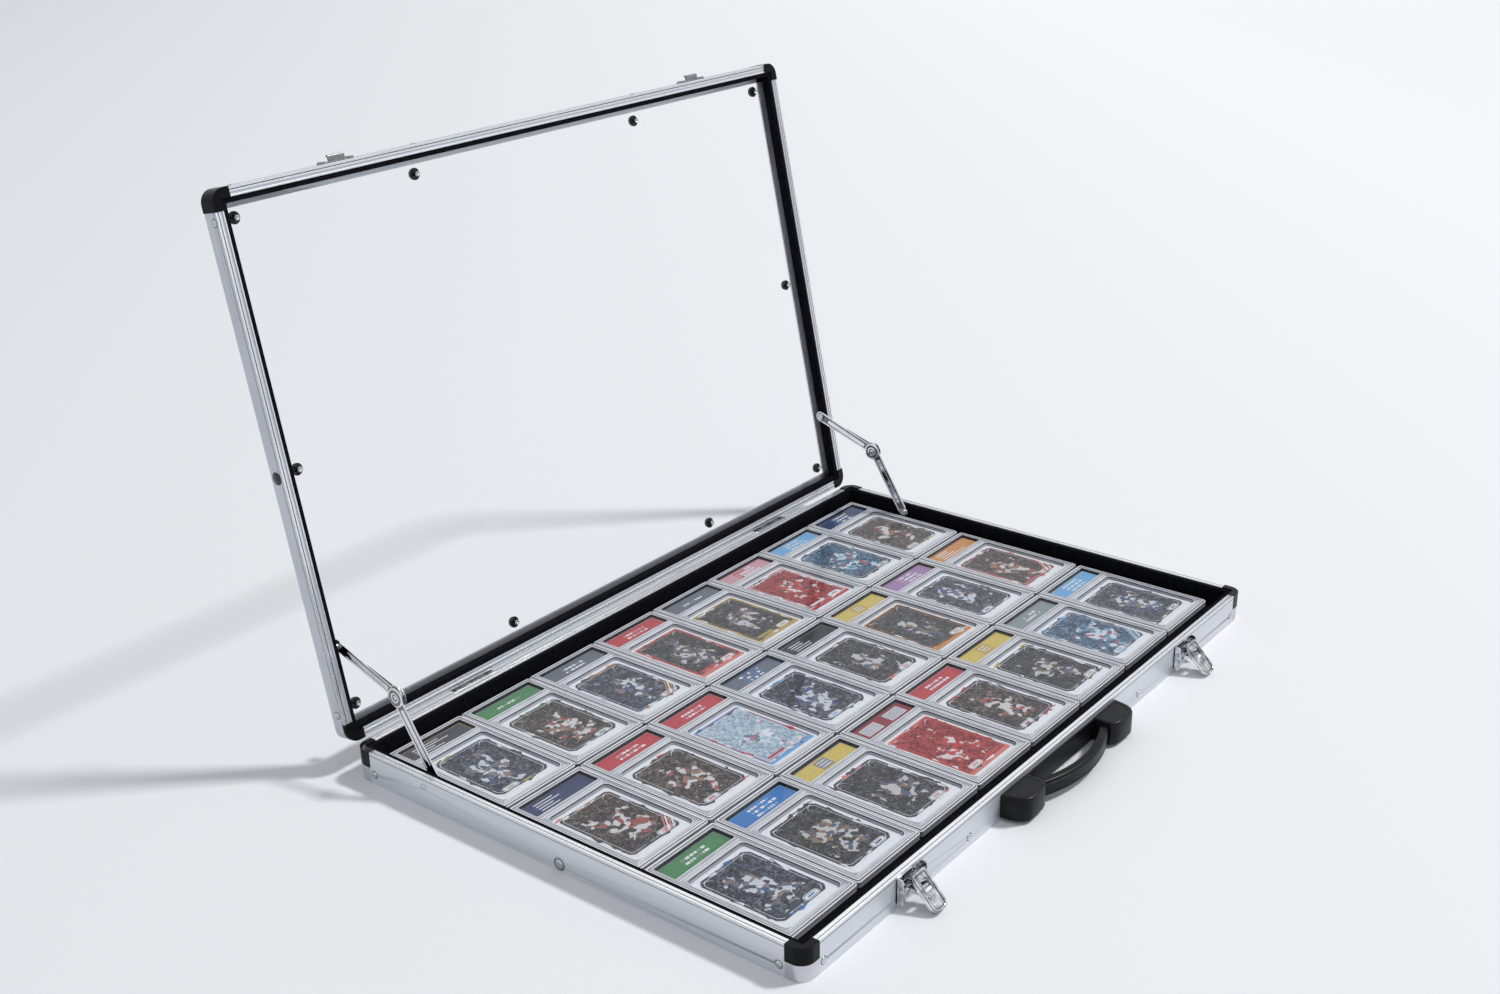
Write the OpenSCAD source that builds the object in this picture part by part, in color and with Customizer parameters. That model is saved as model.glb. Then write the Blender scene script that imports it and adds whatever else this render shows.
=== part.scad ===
// Aluminium display case for graded trading cards, shown open.
// A shallow tray holds three rows of eight clear card slabs. A lid with a clear window
// turns on two hinges at the back and is held by a folding stay at each side.
// Millimetres. +X is to the right, +Y to the hinges, +Z up. The origin is the middle of
// the tray's underside.

/* [Card slabs] */
// Width of one slab
slab_w = 82.6; // [80:0.1:86]
// Length of one slab
slab_d = 136.6; // [134:0.1:142]
// Thickness of one slab
slab_t = 6.4; // [5.6:0.1:8]
// Gap between slabs that lie side by side
slab_gap_x = 0.6; // [0.4:0.1:2]
// Gap between the rows of slabs
slab_gap_y = 3; // [0.5:0.1:6]
// Radius of a slab's corners
slab_corner_r = 3; // [1:0.1:5]
// Width of the step round a slab's upper face
slab_step_w = 0.9; // [0.4:0.1:2]
// Height of that step
slab_step_h = 1; // [0.4:0.1:1.6]
// Card width
card_w = 63.5; // [60:0.1:66]
// Card length
card_d = 88.9; // [86:0.1:92]
// Thickness of a card and of a label
card_t = 0.7; // [0.4:0.1:1]
// Label width
label_w = 70; // [60:0.1:72]
// Label height
label_d = 21; // [16:0.1:24]
// Margin between a card and the front end of its slab
card_margin = 10; // [6:0.1:14]
// Margin between a label and the rear end of its slab
label_margin = 6; // [4:0.1:8]
// Depth of the viewing recesses in a slab's upper face
slab_recess = 0.5; // [0.2:0.1:0.8]
// How far a viewing recess reaches past its card or label
slab_recess_edge = 1.5; // [0.5:0.1:2]

/* [Tray] */
// Clear strip at each side of the slabs, where the stays fold
side_gap = 8.3; // [8.1:0.1:18]
// Clear strip in front of the slabs
front_gap = 15.9; // [14:0.1:18]
// Clear strip behind the slabs
back_gap = 5.9; // [5:0.1:8]
// Height of the tray
base_h = 28; // [27:0.1:34]
// Thickness of the bottom panel
panel_t = 3; // [2:0.1:4]
// Thickness of the foam pad under the slabs
pad_t = 6.9; // [3:0.1:8]
// Thickness of the black lining on the inner walls
lining_t = 4.2; // [3.6:0.1:4.4]
// How far the linings stop short of the rims
lining_drop = 0.8; // [0.4:0.1:2]

/* [Lid] */
// Depth of the lid
lid_h = 14.4; // [13:0.1:18]
// Gap between the two rims when the case is shut
rim_gap = 1.6; // [1.3:0.1:2.4]
// How far the lid opens
open_angle = 101.5; // [96:0.5:106]
// Thickness of the clear window
window_t = 3; // [2:0.1:4]
// Radius of the round feet on the window's outer side
foot_r = 5.2; // [4:0.1:6]
// Height of those feet
foot_h = 4.4; // [2:0.1:5]
// Distance of the feet from the lid's outer edges
foot_inset = 25; // [22:0.1:28]
// Distance of the inner pairs of feet from the middle
foot_mid_x = 140; // [80:1:200]

/* [Aluminium rails] */
// Width of the tray's rails, which is also the width of its rim
base_rail_w = 6; // [5.4:0.1:6.4]
// Width of the lid's rails, which is also the width of its rim
lid_rail_w = 8; // [7.5:0.1:8.4]
// Wall thickness of the rails
rail_wall = 1.4; // [1:0.1:1.8]
// Thickness of the rim lip
lip_t = 2.2; // [1.8:0.1:3]
// Reach of the bottom flange under the panel, from the outer face
base_flange = 16; // [13:0.1:17]
// Reach of the top flange over the window, from the outer face
lid_flange = 16.8; // [15:0.1:17]
// Distance of the rims' narrow groove from the outer face
groove_in = 2.2; // [2:0.1:3]
// Width of the narrow groove
groove_w = 0.7; // [0.4:0.1:1]
// Distance of the lid rim's wide groove from the outer face
channel_in = 4.6; // [4.2:0.1:5]
// Width of the wide groove
channel_w = 2; // [1:0.1:2.4]
// Depth of the grooves
groove_depth = 0.8; // [0.4:0.1:1]

/* [Corners] */
// Outer radius of the corners
corner_r = 11; // [8:0.1:14]
// Length of a corner piece along each face
corner_leg = 17; // [16:0.1:19]
// Depth of the black caps of the tray
cap_h = 14; // [8:0.1:18]
// Depth of the black lips at the lid's two hinge side corners
lid_cap_h = 3; // [2:0.1:6]
// Skin thickness of the caps
cap_skin = 1.6; // [1.2:0.1:2.4]
// Length at the end of a cap's leg where it is skin only
cap_end = 1; // [0.5:0.1:1.2]
// How far the caps stand proud
cap_proud = 0.5; // [0.2:0.1:0.6]
// Length of the tabs inside the rails, from the corner
tab_reach = 32; // [28:0.5:40]
// Play of the tabs inside the rails
tab_play = 0.2; // [0.1:0.05:0.4]

/* [Rivets] */
// Shank radius of the small rivets
rivet_r = 1.6; // [1:0.1:2]
// Head radius of the small rivets
rivet_head_r = 3; // [2.4:0.1:4]
// Head height of the rivets
rivet_head_h = 0.9; // [0.5:0.1:1.4]
// Head radius of the large rivets in the side rails
big_rivet_r = 5; // [4:0.1:5.6]
// Distance of the corner rivets from the corners
rivet_inset = 22; // [21:0.1:26]
// Height of the tray's rivets
rivet_z = 9; // [8:0.1:14]
// Depth of the lid's rivets from its rim
lid_rivet_n = 7.2; // [6:0.1:9]
// Distance of the lid's corner rivets from the corners
lid_rivet_inset = 25; // [24:0.1:28]
// Depth of the lid's foremost side rivets from its rim
lid_front_rivet_n = 4.2; // [4:0.1:8]
// Distance of the front rails' rivets from the middle
rivet_mid_x = 140; // [110:1:190]

/* [Hinges] */
// Distance of each hinge from the middle
hinge_x = 213; // [120:1:280]
// Length of a hinge
hinge_len = 47; // [30:0.5:70]
// Distance of the hinge axis behind the rear face
hinge_out = 2.4; // [2.2:0.05:2.8]
// Distance of the hinge axis below the tray's rim
hinge_drop = 2.1; // [1.9:0.1:2.6]
// Radius of the hinge barrels
barrel_r = 2.6; // [2.2:0.1:3]
// Reach of the hinge slots into the rims, from the rear faces
slot_in = 3; // [1:0.1:4]
// Radius of the hinge pins
hinge_pin_r = 1.2; // [0.8:0.1:1.6]
// Thickness of the hinge leaves
leaf_t = 1.2; // [1:0.1:1.4]
// Reach of a leaf up and down from the axis
leaf_reach = 17; // [12:0.5:18]

/* [Stays] */
// Length of each stay arm between its pivots
arm_len = 73; // [72.8:0.1:76]
// Width of the arms
arm_w = 10.4; // [8:0.1:10.8]
// Thickness of the arms
arm_t = 1.5; // [1:0.1:1.8]
// Distance of the pivots in front of the case's rear face
stay_back = 81; // [80:0.5:82]
// Height of the lower pivot
stay_low_z = 19.5; // [18:0.1:21]
// Depth of the upper pivot from the lid's rim
stay_up_n = 4.4; // [4:0.1:5]
// Radius of the pivot pins
stay_pin_r = 2; // [1.4:0.1:2.4]
// Radius of the rings at the arms' outer ends
ring_r = 5.5; // [5:0.1:5.6]
// Radius of the rivet at the elbow
elbow_pin_r = 1.5; // [1:0.1:2]
// Radius of the disc over the elbow
elbow_disc_r = 8.8; // [8.6:0.1:9.4]
// Gap between the layers of a stay
stay_gap = 0.3; // [0.25:0.05:0.5]

/* [Latches] */
// Distance of each latch from the middle
latch_x = 224; // [160:1:290]
// Width of the latch plates
latch_w = 32; // [26:0.5:40]
// Thickness of the latch sheet
latch_t = 1.2; // [0.8:0.1:1.5]
// Lower edge of the latch plates
latch_z = 3.5; // [2:0.1:6]
// Upper edge of the latch plates
latch_top = 26.5; // [24:0.1:26.8]
// How far the cheeks stand out from the plate
cheek_d = 5; // [4:0.1:6]
// Distance of the link's fixed pin from the front face
link_out = 3.6; // [3.4:0.1:5]
// Height of that pin
link_z = 17; // [16:0.1:18]
// Length of the link between its pins
link_len = 10.1; // [9:0.1:11]
// Direction of the link when it hangs open
link_angle = 184; // [178:1:190]
// Width of the lever
lever_w = 17; // [12:0.5:20]
// Depth of the lever's side walls
lever_d = 4.4; // [3.6:0.1:5]
// Reach of the lever above its pin
lever_top = 12; // [10:0.1:13]
// Reach of the lever below its pin
lever_tail = 20.5; // [16:0.1:20.5]
// Direction of the lever when it hangs open
lever_angle = 226; // [220:1:226]
// Radius of the latch pins
latch_pin_r = 1.1; // [0.8:0.1:1.4]

/* [Handle] */
// Distance of the end blocks' inner faces from the middle
boot_in = 55; // [45:0.5:70]
// Length of the end blocks
boot_len = 40; // [30:0.5:50]
// How far the end blocks stand out from the face
boot_d = 22; // [18:0.5:26]
// Lower edge of the end blocks
boot_z = 3; // [1:0.1:6]
// Upper edge of the end blocks
boot_top = 24; // [22:0.1:26]
// Distance of the handle's axis from the front face
grip_out = 10.5; // [10:0.1:13]
// Height of the handle's axis
grip_z = 13; // [12:0.1:14]
// How far the grip bows out beyond its axis
grip_bow = 12.5; // [8:0.1:20]
// Height of the grip
grip_h = 15; // [10:0.1:16]
// Thickness of the grip
grip_t = 8; // [6:0.1:9]
// Radius of the grip's end pins
grip_pin_r = 3; // [2:0.1:3.5]
// Length of those pins inside the end blocks
grip_pin_in = 11; // [8:0.5:14]
// Thickness of the black plate behind the grip
backplate_t = 1.5; // [1:0.1:2]

/* [Fits] */
// Radial clearance of a pin that turns in its bore
run_fit = 0.05; // [0.02:0.01:0.1]
// Clearance between parts that only lie side by side
part_gap = 0.3; // [0.1:0.05:0.5]

/* [Hidden] */
slab_cols = 8;
slab_rows = 3;
$fn = 64;
eps = 0.01;

FRAME_NODES = [
    "base_front_rail", "base_back_rail", "base_left_rail", "base_right_rail",
    "base_corner_brackets", "base_corner_caps", "base_bottom_panel",
    "base_wall_lining", "base_floor_pad", "base_rivets",
    "hinge_base_leaves", "hinge_lid_leaves", "hinge_pins",
    "latch_base_plates", "latch_catches",
    "latch_left_link", "latch_left_lever", "latch_right_link", "latch_right_lever",
    "handle_backplate", "handle_brackets", "handle_grip",
    "lid_front_rail", "lid_back_rail", "lid_left_rail", "lid_right_rail",
    "lid_corner_brackets", "lid_corner_caps", "lid_window", "lid_wall_lining",
    "window_feet", "lid_rivets",
    "stay_left_lower_arm", "stay_left_upper_arm",
    "stay_right_lower_arm", "stay_right_upper_arm"
];
function slab_name(row, col) = str("card_slab_r", row, "_c", col);
SLAB_NODES = [for (row = [1 : slab_rows]) for (col = [1 : slab_cols]) slab_name(row, col)];

// Outer size of the case, from what it holds
base_inner = base_rail_w + lining_t;
lid_inner = lid_rail_w + lining_t;
slabs_w = slab_cols * slab_w + (slab_cols - 1) * slab_gap_x;
slabs_d = slab_rows * slab_d + (slab_rows - 1) * slab_gap_y;
case_w = slabs_w + 2 * (side_gap + base_inner);
case_d = slabs_d + front_gap + back_gap + 2 * base_inner;
half_w = case_w / 2;
half_d = case_d / 2;
stay_y = half_d - stay_back;

// Levels in the tray
panel_z = rail_wall;
pad_z = panel_z + panel_t;
slab_z = pad_z + pad_t;

// Hinge axis, and the lid's rim when the case is shut
hinge_y = half_d + hinge_out;
hinge_z = base_h - hinge_drop;
shut_rim_z = base_h + rim_gap;

// Window level, as a depth from the lid's rim
window_n = lid_h - rail_wall - window_t;

// Layers of a stay, as distances from the middle plane
stay_wall_x = half_w - lid_inner;
low_arm_x = stay_wall_x - stay_gap - 0.5 - arm_t;
up_arm_x = low_arm_x - stay_gap - arm_t;
pin_head_t = 1.2;

// The case laid out in the plane of a side view: [y, z]
function turned(p, angle) =
    let (dy = p[0] - hinge_y, dz = p[1] - hinge_z)
    [hinge_y + dy * cos(angle) + dz * sin(angle), hinge_z - dy * sin(angle) + dz * cos(angle)];
low_pivot = [stay_y, stay_low_z];
up_pivot_shut = [stay_y, shut_rim_z + stay_up_n];
function up_pivot(angle) = turned(up_pivot_shut, angle);
function elbow_at(angle) =
    let (reach = up_pivot(angle) - low_pivot, far = norm(reach),
         rise = sqrt(max(0, arm_len * arm_len - far * far / 4)))
    low_pivot + reach / 2 + rise * [-reach[1], reach[0]] / far;
function heading(from, to) = atan2(to[1] - from[1], to[0] - from[0]);
function positive(angle) = angle < 0 ? angle + 360 : angle;

// Headings of the arms with the case shut and open. The upper arm's heading is taken
// in the lid, which itself turns by the opening angle.
low_shut = heading(low_pivot, elbow_at(0));
low_open = heading(low_pivot, elbow_at(open_angle));
up_shut = positive(heading(up_pivot(0), elbow_at(0)));
up_open = positive(heading(up_pivot(open_angle), elbow_at(open_angle)));

// Both arms turn in a steady ratio to the lid, so the elbow's two halves drift apart a
// little between the end positions. The hole at the elbow is as wide as that drift.
function elbow_drift(share) =
    let (angle = share * open_angle,
         low_dir = low_shut + share * (low_open - low_shut),
         up_dir = up_shut + share * (up_open + open_angle - up_shut) - angle,
         off = low_pivot + arm_len * [cos(low_dir), sin(low_dir)]
             - up_pivot(angle) - arm_len * [cos(up_dir), sin(up_dir)])
    [off[0] * cos(up_dir) + off[1] * sin(up_dir), off[1] * cos(up_dir) - off[0] * sin(up_dir)];
drift_steps = 24;
drift = [for (i = [0 : drift_steps]) elbow_drift(i / drift_steps)];
drift_x = [for (p = drift) p[0]];
drift_y = [for (p = drift) p[1]];
drift_mid = [(min(drift_x) + max(drift_x)) / 2, (min(drift_y) + max(drift_y)) / 2];
drift_r = max([for (p = drift) norm(p - drift_mid)]);
elbow_hole_r = drift_r + elbow_pin_r + part_gap;
elbow_ring_r = elbow_hole_r + 1.5;

// Places that repeat
function slab_x(col) = -slabs_w / 2 + slab_w / 2 + (col - 1) * (slab_w + slab_gap_x);
function slab_y(row) = -half_d + base_inner + front_gap + slab_d / 2 + (row - 1) * (slab_d + slab_gap_y);
FOOT_PLACES = concat(
    [for (sx = [-1, 1]) for (sy = [-1, 1]) [sx * (half_w - foot_inset), sy * (half_d - foot_inset)]],
    [for (sx = [-1, 1]) for (sy = [-1, 1]) [sx * foot_mid_x, sy * (half_d - foot_inset)]],
    [for (sx = [-1, 1]) [sx * (half_w - foot_inset), 0]]
);

// Puts children, built round +Z, on an outer face of the case
module on_face(face, along, up) {
    if (face == "front") translate([along, -half_d, up]) rotate([90, 0, 0]) children();
    if (face == "back") translate([along, half_d, up]) rotate([90, 0, 180]) children();
    if (face == "left") translate([-half_w, along, up]) rotate([90, 0, -90]) children();
    if (face == "right") translate([half_w, along, up]) rotate([90, 0, 90]) children();
}

// Puts a corner, built at the front left, on all four corners
module on_corners(sides = [-1, 1], ends = [-1, 1]) {
    for (sx = sides) for (sy = ends)
        mirror([sx > 0 ? 1 : 0, 0, 0]) mirror([0, sy > 0 ? 1 : 0, 0])
            translate([-half_w, -half_d, 0]) children();
}

// The lid's own frame: the case's X and Y as when shut, and depth n from the lid's rim
module in_lid() {
    translate([0, hinge_y, hinge_z]) rotate([-open_angle, 0, 0])
        translate([0, -hinge_y, shut_rim_z - hinge_z]) children();
}

// The tray's frame measured the same way, as a depth from its rim
module from_rim() {
    translate([0, 0, base_h]) mirror([0, 0, 1]) children();
}

// Section of a rail: a hollow box with grooves in its rim and a flange at its far side.
// The rim is at n = 0, and the first axis runs inwards from the outer face.
module rail_section(depth, width, flange) {
    difference() {
        union() {
            square([width, depth]);
            translate([0, depth - rail_wall]) square([flange, rail_wall]);
        }
        translate([rail_wall, lip_t]) square([width - 2 * rail_wall, depth - lip_t - rail_wall]);
        translate([groove_in, -eps]) square([groove_w, groove_depth + eps]);
        if (width == lid_rail_w) translate([channel_in, -eps]) square([channel_w, groove_depth + eps]);
    }
}

// A straight rail along X, on the front side
module rail_along_x(depth, width, flange) {
    length = case_w - 2 * corner_leg;
    translate([-length / 2, -half_d, 0]) rotate([90, 0, 90])
        linear_extrude(length) rail_section(depth, width, flange);
}

// A straight rail along Y, on the left side
module rail_along_y(depth, width, flange) {
    length = case_d - 2 * corner_leg;
    translate([-half_w, length / 2, 0]) rotate([0, 0, -90]) rotate([90, 0, 90])
        linear_extrude(length) rail_section(depth, width, flange);
}

// A rivet: its head stands on the face and its shank goes through the wall
module rivet(head_r = rivet_head_r, shank_r = rivet_r, depth = rail_wall + 2) {
    translate([0, 0, -depth]) cylinder(r = shank_r, h = depth + eps);
    cylinder(r1 = head_r, r2 = head_r * 0.72, h = rivet_head_h);
}

module rivet_bore() {
    bore_in = lid_rail_w / 2;
    translate([0, 0, -bore_in]) cylinder(r = rivet_r + run_fit, h = 2 * bore_in);
}

module stay_bore() {
    bore_in = lid_inner + 1;
    translate([0, 0, -bore_in]) cylinder(r = stay_pin_r + run_fit, h = 2 * bore_in);
}

// Every rivet of the tray, or its bore, in the tray's own frame
module at_tray_rivets() {
    for (face = ["front", "back"]) for (s = [-1, 1])
        on_face(face, s * (half_w - rivet_inset), rivet_z) children();
    for (face = ["left", "right"]) for (s = [-1, 1])
        on_face(face, s * (half_d - rivet_inset), rivet_z) children();
    for (s = [-1, 1]) on_face("front", s * rivet_mid_x, rivet_z) children();
}

module at_lid_rivets() {
    for (face = ["front", "back"]) for (s = [-1, 1])
        on_face(face, s * (half_w - lid_rivet_inset), lid_rivet_n) children();
    for (face = ["left", "right"]) {
        on_face(face, half_d - lid_rivet_inset, lid_rivet_n) children();
        on_face(face, lid_rivet_inset - half_d, lid_front_rivet_n) children();
    }
    for (s = [-1, 1]) on_face("front", s * rivet_mid_x, lid_rivet_n) children();
}

hinge_rivet_x = hinge_len * 0.3;
hinge_rivet_drop = 11.5;
module at_hinge_rivets(up) {
    for (s = [-1, 1]) for (k = [-1, 1])
        on_face("back", s * hinge_x + k * hinge_rivet_x, up) children();
}
base_hinge_rivet_z = hinge_z - hinge_rivet_drop;
lid_hinge_rivet_n = hinge_z + hinge_rivet_drop - shut_rim_z + 1;
big_rivet_z = big_rivet_r + 1.5;

// Bores through the tray's rails
module tray_bores() {
    at_tray_rivets() rivet_bore();
    at_hinge_rivets(base_hinge_rivet_z) rivet_bore();
    for (face = ["left", "right"]) {
        on_face(face, 0, big_rivet_z) rivet_bore();
        on_face(face, stay_y, stay_low_z) stay_bore();
    }
}

module lid_bores() {
    at_lid_rivets() rivet_bore();
    at_hinge_rivets(lid_hinge_rivet_n) rivet_bore();
    for (face = ["left", "right"]) {
        on_face(face, 0, lid_rivet_n) rivet_bore();
        on_face(face, stay_y, stay_up_n) stay_bore();
    }
}

// Slots in the two rear rims, with room for the hinge barrels
slot_side = 1.2;
module hinge_slots(low, high) {
    for (s = [-1, 1]) translate([s * hinge_x - hinge_len / 2 - slot_side, half_d - slot_in, low])
        cube([hinge_len + 2 * slot_side, 2 * slot_in, high - low]);
}

module tray_rail_x() {
    from_rim() rail_along_x(base_h, base_rail_w, base_flange);
}

module tray_rail_y() {
    from_rim() rail_along_y(base_h, base_rail_w, base_flange);
}

module base_front_rail() {
    color("silver") difference() {
        tray_rail_x();
        tray_bores();
    }
}

module base_back_rail() {
    color("silver") difference() {
        mirror([0, 1, 0]) tray_rail_x();
        hinge_slots(hinge_z - barrel_r - part_gap, base_h + 1);
        tray_bores();
    }
}

module base_left_rail() {
    color("silver") difference() {
        tray_rail_y();
        tray_bores();
    }
}

module base_right_rail() {
    color("silver") difference() {
        mirror([1, 0, 0]) tray_rail_y();
        tray_bores();
    }
}

// Plan of a corner piece with its rounded outer corner at the origin
module rounded_quadrant(leg, r) {
    translate([r, 0]) square([leg - r, leg]);
    translate([0, r]) square([leg, leg - r]);
    intersection() {
        translate([r, r]) circle(r);
        square([leg, leg]);
    }
}

module corner_plan(leg, width, r) {
    intersection() {
        union() {
            square([leg, width]);
            square([width, leg]);
        }
        rounded_quadrant(leg, r);
    }
}

// The tabs that slide into the two rails
module corner_tabs(depth, width) {
    tab_w = width - 2 * rail_wall - 2 * tab_play;
    tab_h = depth - lip_t - rail_wall - 2 * tab_play;
    tab_in = rail_wall + tab_play;
    root = corner_leg - 1;
    translate([root, tab_in, lip_t + tab_play]) cube([tab_reach - root, tab_w, tab_h]);
    translate([tab_in, root, lip_t + tab_play]) cube([tab_w, tab_reach - root, tab_h]);
}

// A corner piece: rounded outside, cut back under its cap, with a flange plate and tabs
module corner_piece(depth, width, capped) {
    full = capped >= depth;
    core_end = full ? depth - cap_skin : capped + eps;
    if (!full) {
        translate([0, 0, capped]) linear_extrude(depth - capped) corner_plan(corner_leg, width, corner_r);
        translate([0, 0, depth - rail_wall]) linear_extrude(rail_wall) rounded_quadrant(corner_leg, corner_r);
    }
    translate([cap_skin, cap_skin, cap_skin]) linear_extrude(core_end - cap_skin)
        corner_plan(corner_leg - cap_skin, width - cap_skin, corner_r - cap_skin);
    corner_tabs(depth, width);
}

// The black cap over a corner piece
module corner_cap(depth, width, capped) {
    full = capped >= depth;
    top = full ? depth + cap_proud : capped;
    difference() {
        translate([-cap_proud, -cap_proud, -cap_proud]) linear_extrude(top + cap_proud)
            corner_plan(corner_leg + cap_proud, width + cap_proud, corner_r + cap_proud);
        translate([cap_skin, cap_skin, cap_skin]) linear_extrude(full ? depth - 2 * cap_skin : capped) {
            corner_plan(corner_leg, width - cap_skin, corner_r - cap_skin);
            translate([corner_leg - cap_skin - cap_end, 0]) square([2 * cap_end, width]);
            translate([0, corner_leg - cap_skin - cap_end]) square([width, 2 * cap_end]);
        }
    }
    flange = corner_leg - width + eps;
    if (full) translate([width - eps, width - eps, depth - rail_wall]) cube([flange, flange, rail_wall]);
}

module base_corner_brackets() {
    color("gainsboro") difference() {
        from_rim() on_corners() corner_piece(base_h, base_rail_w, cap_h);
        at_tray_rivets() rivet_bore();
    }
}

module base_corner_caps() {
    color("black") from_rim() on_corners() corner_cap(base_h, base_rail_w, cap_h);
}

module base_bottom_panel() {
    w = case_w - 2 * (base_rail_w + part_gap);
    d = case_d - 2 * (base_rail_w + part_gap);
    inset = max(base_flange, corner_leg) + part_gap;
    color("dimgray") {
        translate([-w / 2, -d / 2, panel_z]) cube([w, d, panel_t]);
        translate([inset - half_w, inset - half_d, 0])
            cube([case_w - 2 * inset, case_d - 2 * inset, panel_z + panel_t / 2]);
    }
}

// A frame of lining against the inner walls
module wall_lining(width, low, high) {
    w = case_w - 2 * width;
    d = case_d - 2 * width;
    difference() {
        translate([-w / 2, -d / 2, low]) cube([w, d, high - low]);
        translate([-w / 2 + lining_t, -d / 2 + lining_t, low - 1])
            cube([w - 2 * lining_t, d - 2 * lining_t, high - low + 2]);
    }
}

module base_wall_lining() {
    color("black") difference() {
        wall_lining(base_rail_w, pad_z, base_h - lining_drop);
        for (face = ["left", "right"]) on_face(face, stay_y, stay_low_z) stay_bore();
    }
}

module base_floor_pad() {
    w = case_w - 2 * (base_inner + part_gap);
    d = case_d - 2 * (base_inner + part_gap);
    color("black") translate([-w / 2, -d / 2, pad_z]) cube([w, d, pad_t]);
}

// A stay's pivot pin, with a collar between the lining and the arm and a head inside the arm
module stay_pin(arm_x, lining_in) {
    inner = half_w - arm_x;
    collar_in = inner - arm_t - stay_gap;
    translate([0, 0, -inner]) cylinder(r = stay_pin_r, h = inner + eps);
    translate([0, 0, -collar_in]) cylinder(r = stay_pin_r + 1.2, h = collar_in - lining_in);
    translate([0, 0, -inner - stay_gap - pin_head_t]) cylinder(r = ring_r * 0.75, h = pin_head_t);
    translate([0, 0, -inner - stay_gap - eps]) cylinder(r = stay_pin_r, h = stay_gap + 2 * eps);
    cylinder(r1 = rivet_head_r, r2 = rivet_head_r * 0.72, h = rivet_head_h);
}

module base_rivets() {
    color("lightgray") {
        at_tray_rivets() rivet();
        at_hinge_rivets(base_hinge_rivet_z) translate([0, 0, leaf_t]) rivet(depth = rail_wall + leaf_t + 1);
        for (face = ["left", "right"]) {
            on_face(face, 0, big_rivet_z) rivet(head_r = big_rivet_r);
            on_face(face, stay_y, stay_low_z) stay_pin(low_arm_x, base_inner);
        }
    }
}

// Hinge barrels: five knuckles, odd ones on the tray's leaf and even ones on the lid's
knuckles = 5;
knuckle_gap = 0.3;
knuckle_len = (hinge_len - (knuckles - 1) * knuckle_gap) / knuckles;
function knuckle_x(k) = -hinge_len / 2 + k * (knuckle_len + knuckle_gap);

module knuckle(k, side, clear) {
    web = clear + eps;
    translate([knuckle_x(k), 0, 0]) {
        rotate([0, 90, 0]) cylinder(r = barrel_r, h = knuckle_len);
        translate([0, -hinge_out, side > 0 ? 0 : -web]) cube([knuckle_len, leaf_t, web]);
    }
}

// One leaf, its axis along X at the origin; side is 1 for the lid and -1 for the tray
module hinge_leaf(side, clear) {
    difference() {
        union() {
            for (k = [0 : knuckles - 1])
                if ((k % 2 == 0) == (side < 0)) knuckle(k, side, clear);
            translate([-hinge_len / 2, -hinge_out, side > 0 ? clear : -leaf_reach])
                cube([hinge_len, leaf_t, leaf_reach - clear]);
        }
        translate([-hinge_len, 0, 0]) rotate([0, 90, 0])
            cylinder(r = hinge_pin_r + run_fit, h = 2 * hinge_len);
        for (k = [-1, 1]) translate([k * hinge_rivet_x, 0, side * (hinge_rivet_drop + (side > 0 ? 1 : 0))])
            rotate([90, 0, 0]) translate([0, 0, -leaf_t]) cylinder(r = rivet_r + run_fit, h = 4 * leaf_t);
    }
}

module hinge_base_leaves() {
    color("silver") for (s = [-1, 1])
        translate([s * hinge_x, hinge_y, hinge_z]) hinge_leaf(-1, barrel_r + part_gap);
}

module hinge_lid_leaves() {
    color("silver") in_lid() for (s = [-1, 1])
        translate([s * hinge_x, hinge_y, hinge_z - shut_rim_z]) hinge_leaf(1, hinge_drop + rim_gap / 2);
}

module hinge_pins() {
    over = 0.8;
    color("lightgray") for (s = [-1, 1]) translate([s * hinge_x - hinge_len / 2, hinge_y, hinge_z])
        rotate([0, 90, 0]) {
            cylinder(r = hinge_pin_r, h = hinge_len);
            for (z = [-over, hinge_len]) translate([0, 0, z]) cylinder(r = hinge_pin_r * 1.5, h = over);
        }
}

// Latches. The link's fixed pin is at link_at, and the lever's pin at the link's end.
link_at = [-half_d - link_out, link_z];
lever_at = link_at + link_len * [cos(link_angle), sin(link_angle)];
cheek_r = 3;
boss_r = 2;

module latch_plate() {
    depth = cheek_d + latch_t;
    difference() {
        union() {
            translate([-latch_w / 2, -half_d - latch_t, latch_z]) cube([latch_w, latch_t, latch_top - latch_z]);
            for (s = [0, 1]) mirror([s, 0, 0])
                translate([latch_w / 2 - latch_t, -half_d, latch_z]) rotate([90, 0, 90])
                    linear_extrude(latch_t) {
                        translate([-depth, cheek_r]) square([depth, latch_top - latch_z - cheek_r]);
                        translate([-depth + cheek_r, 0]) square([depth - cheek_r, cheek_r + eps]);
                        translate([-depth + cheek_r, cheek_r]) circle(cheek_r);
                    }
        }
        translate([0, -half_d, link_z - 8]) rotate([90, 0, 0]) translate([0, 0, -1]) cylinder(r = 1.6, h = 4);
    }
    translate([-latch_w / 2 + latch_t / 2, link_at[0], link_at[1]]) rotate([0, 90, 0])
        cylinder(r = latch_pin_r, h = latch_w - latch_t);
}

module latch_base_plates() {
    color("silver") for (s = [-1, 1]) translate([s * latch_x, 0, 0]) latch_plate();
}

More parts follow.
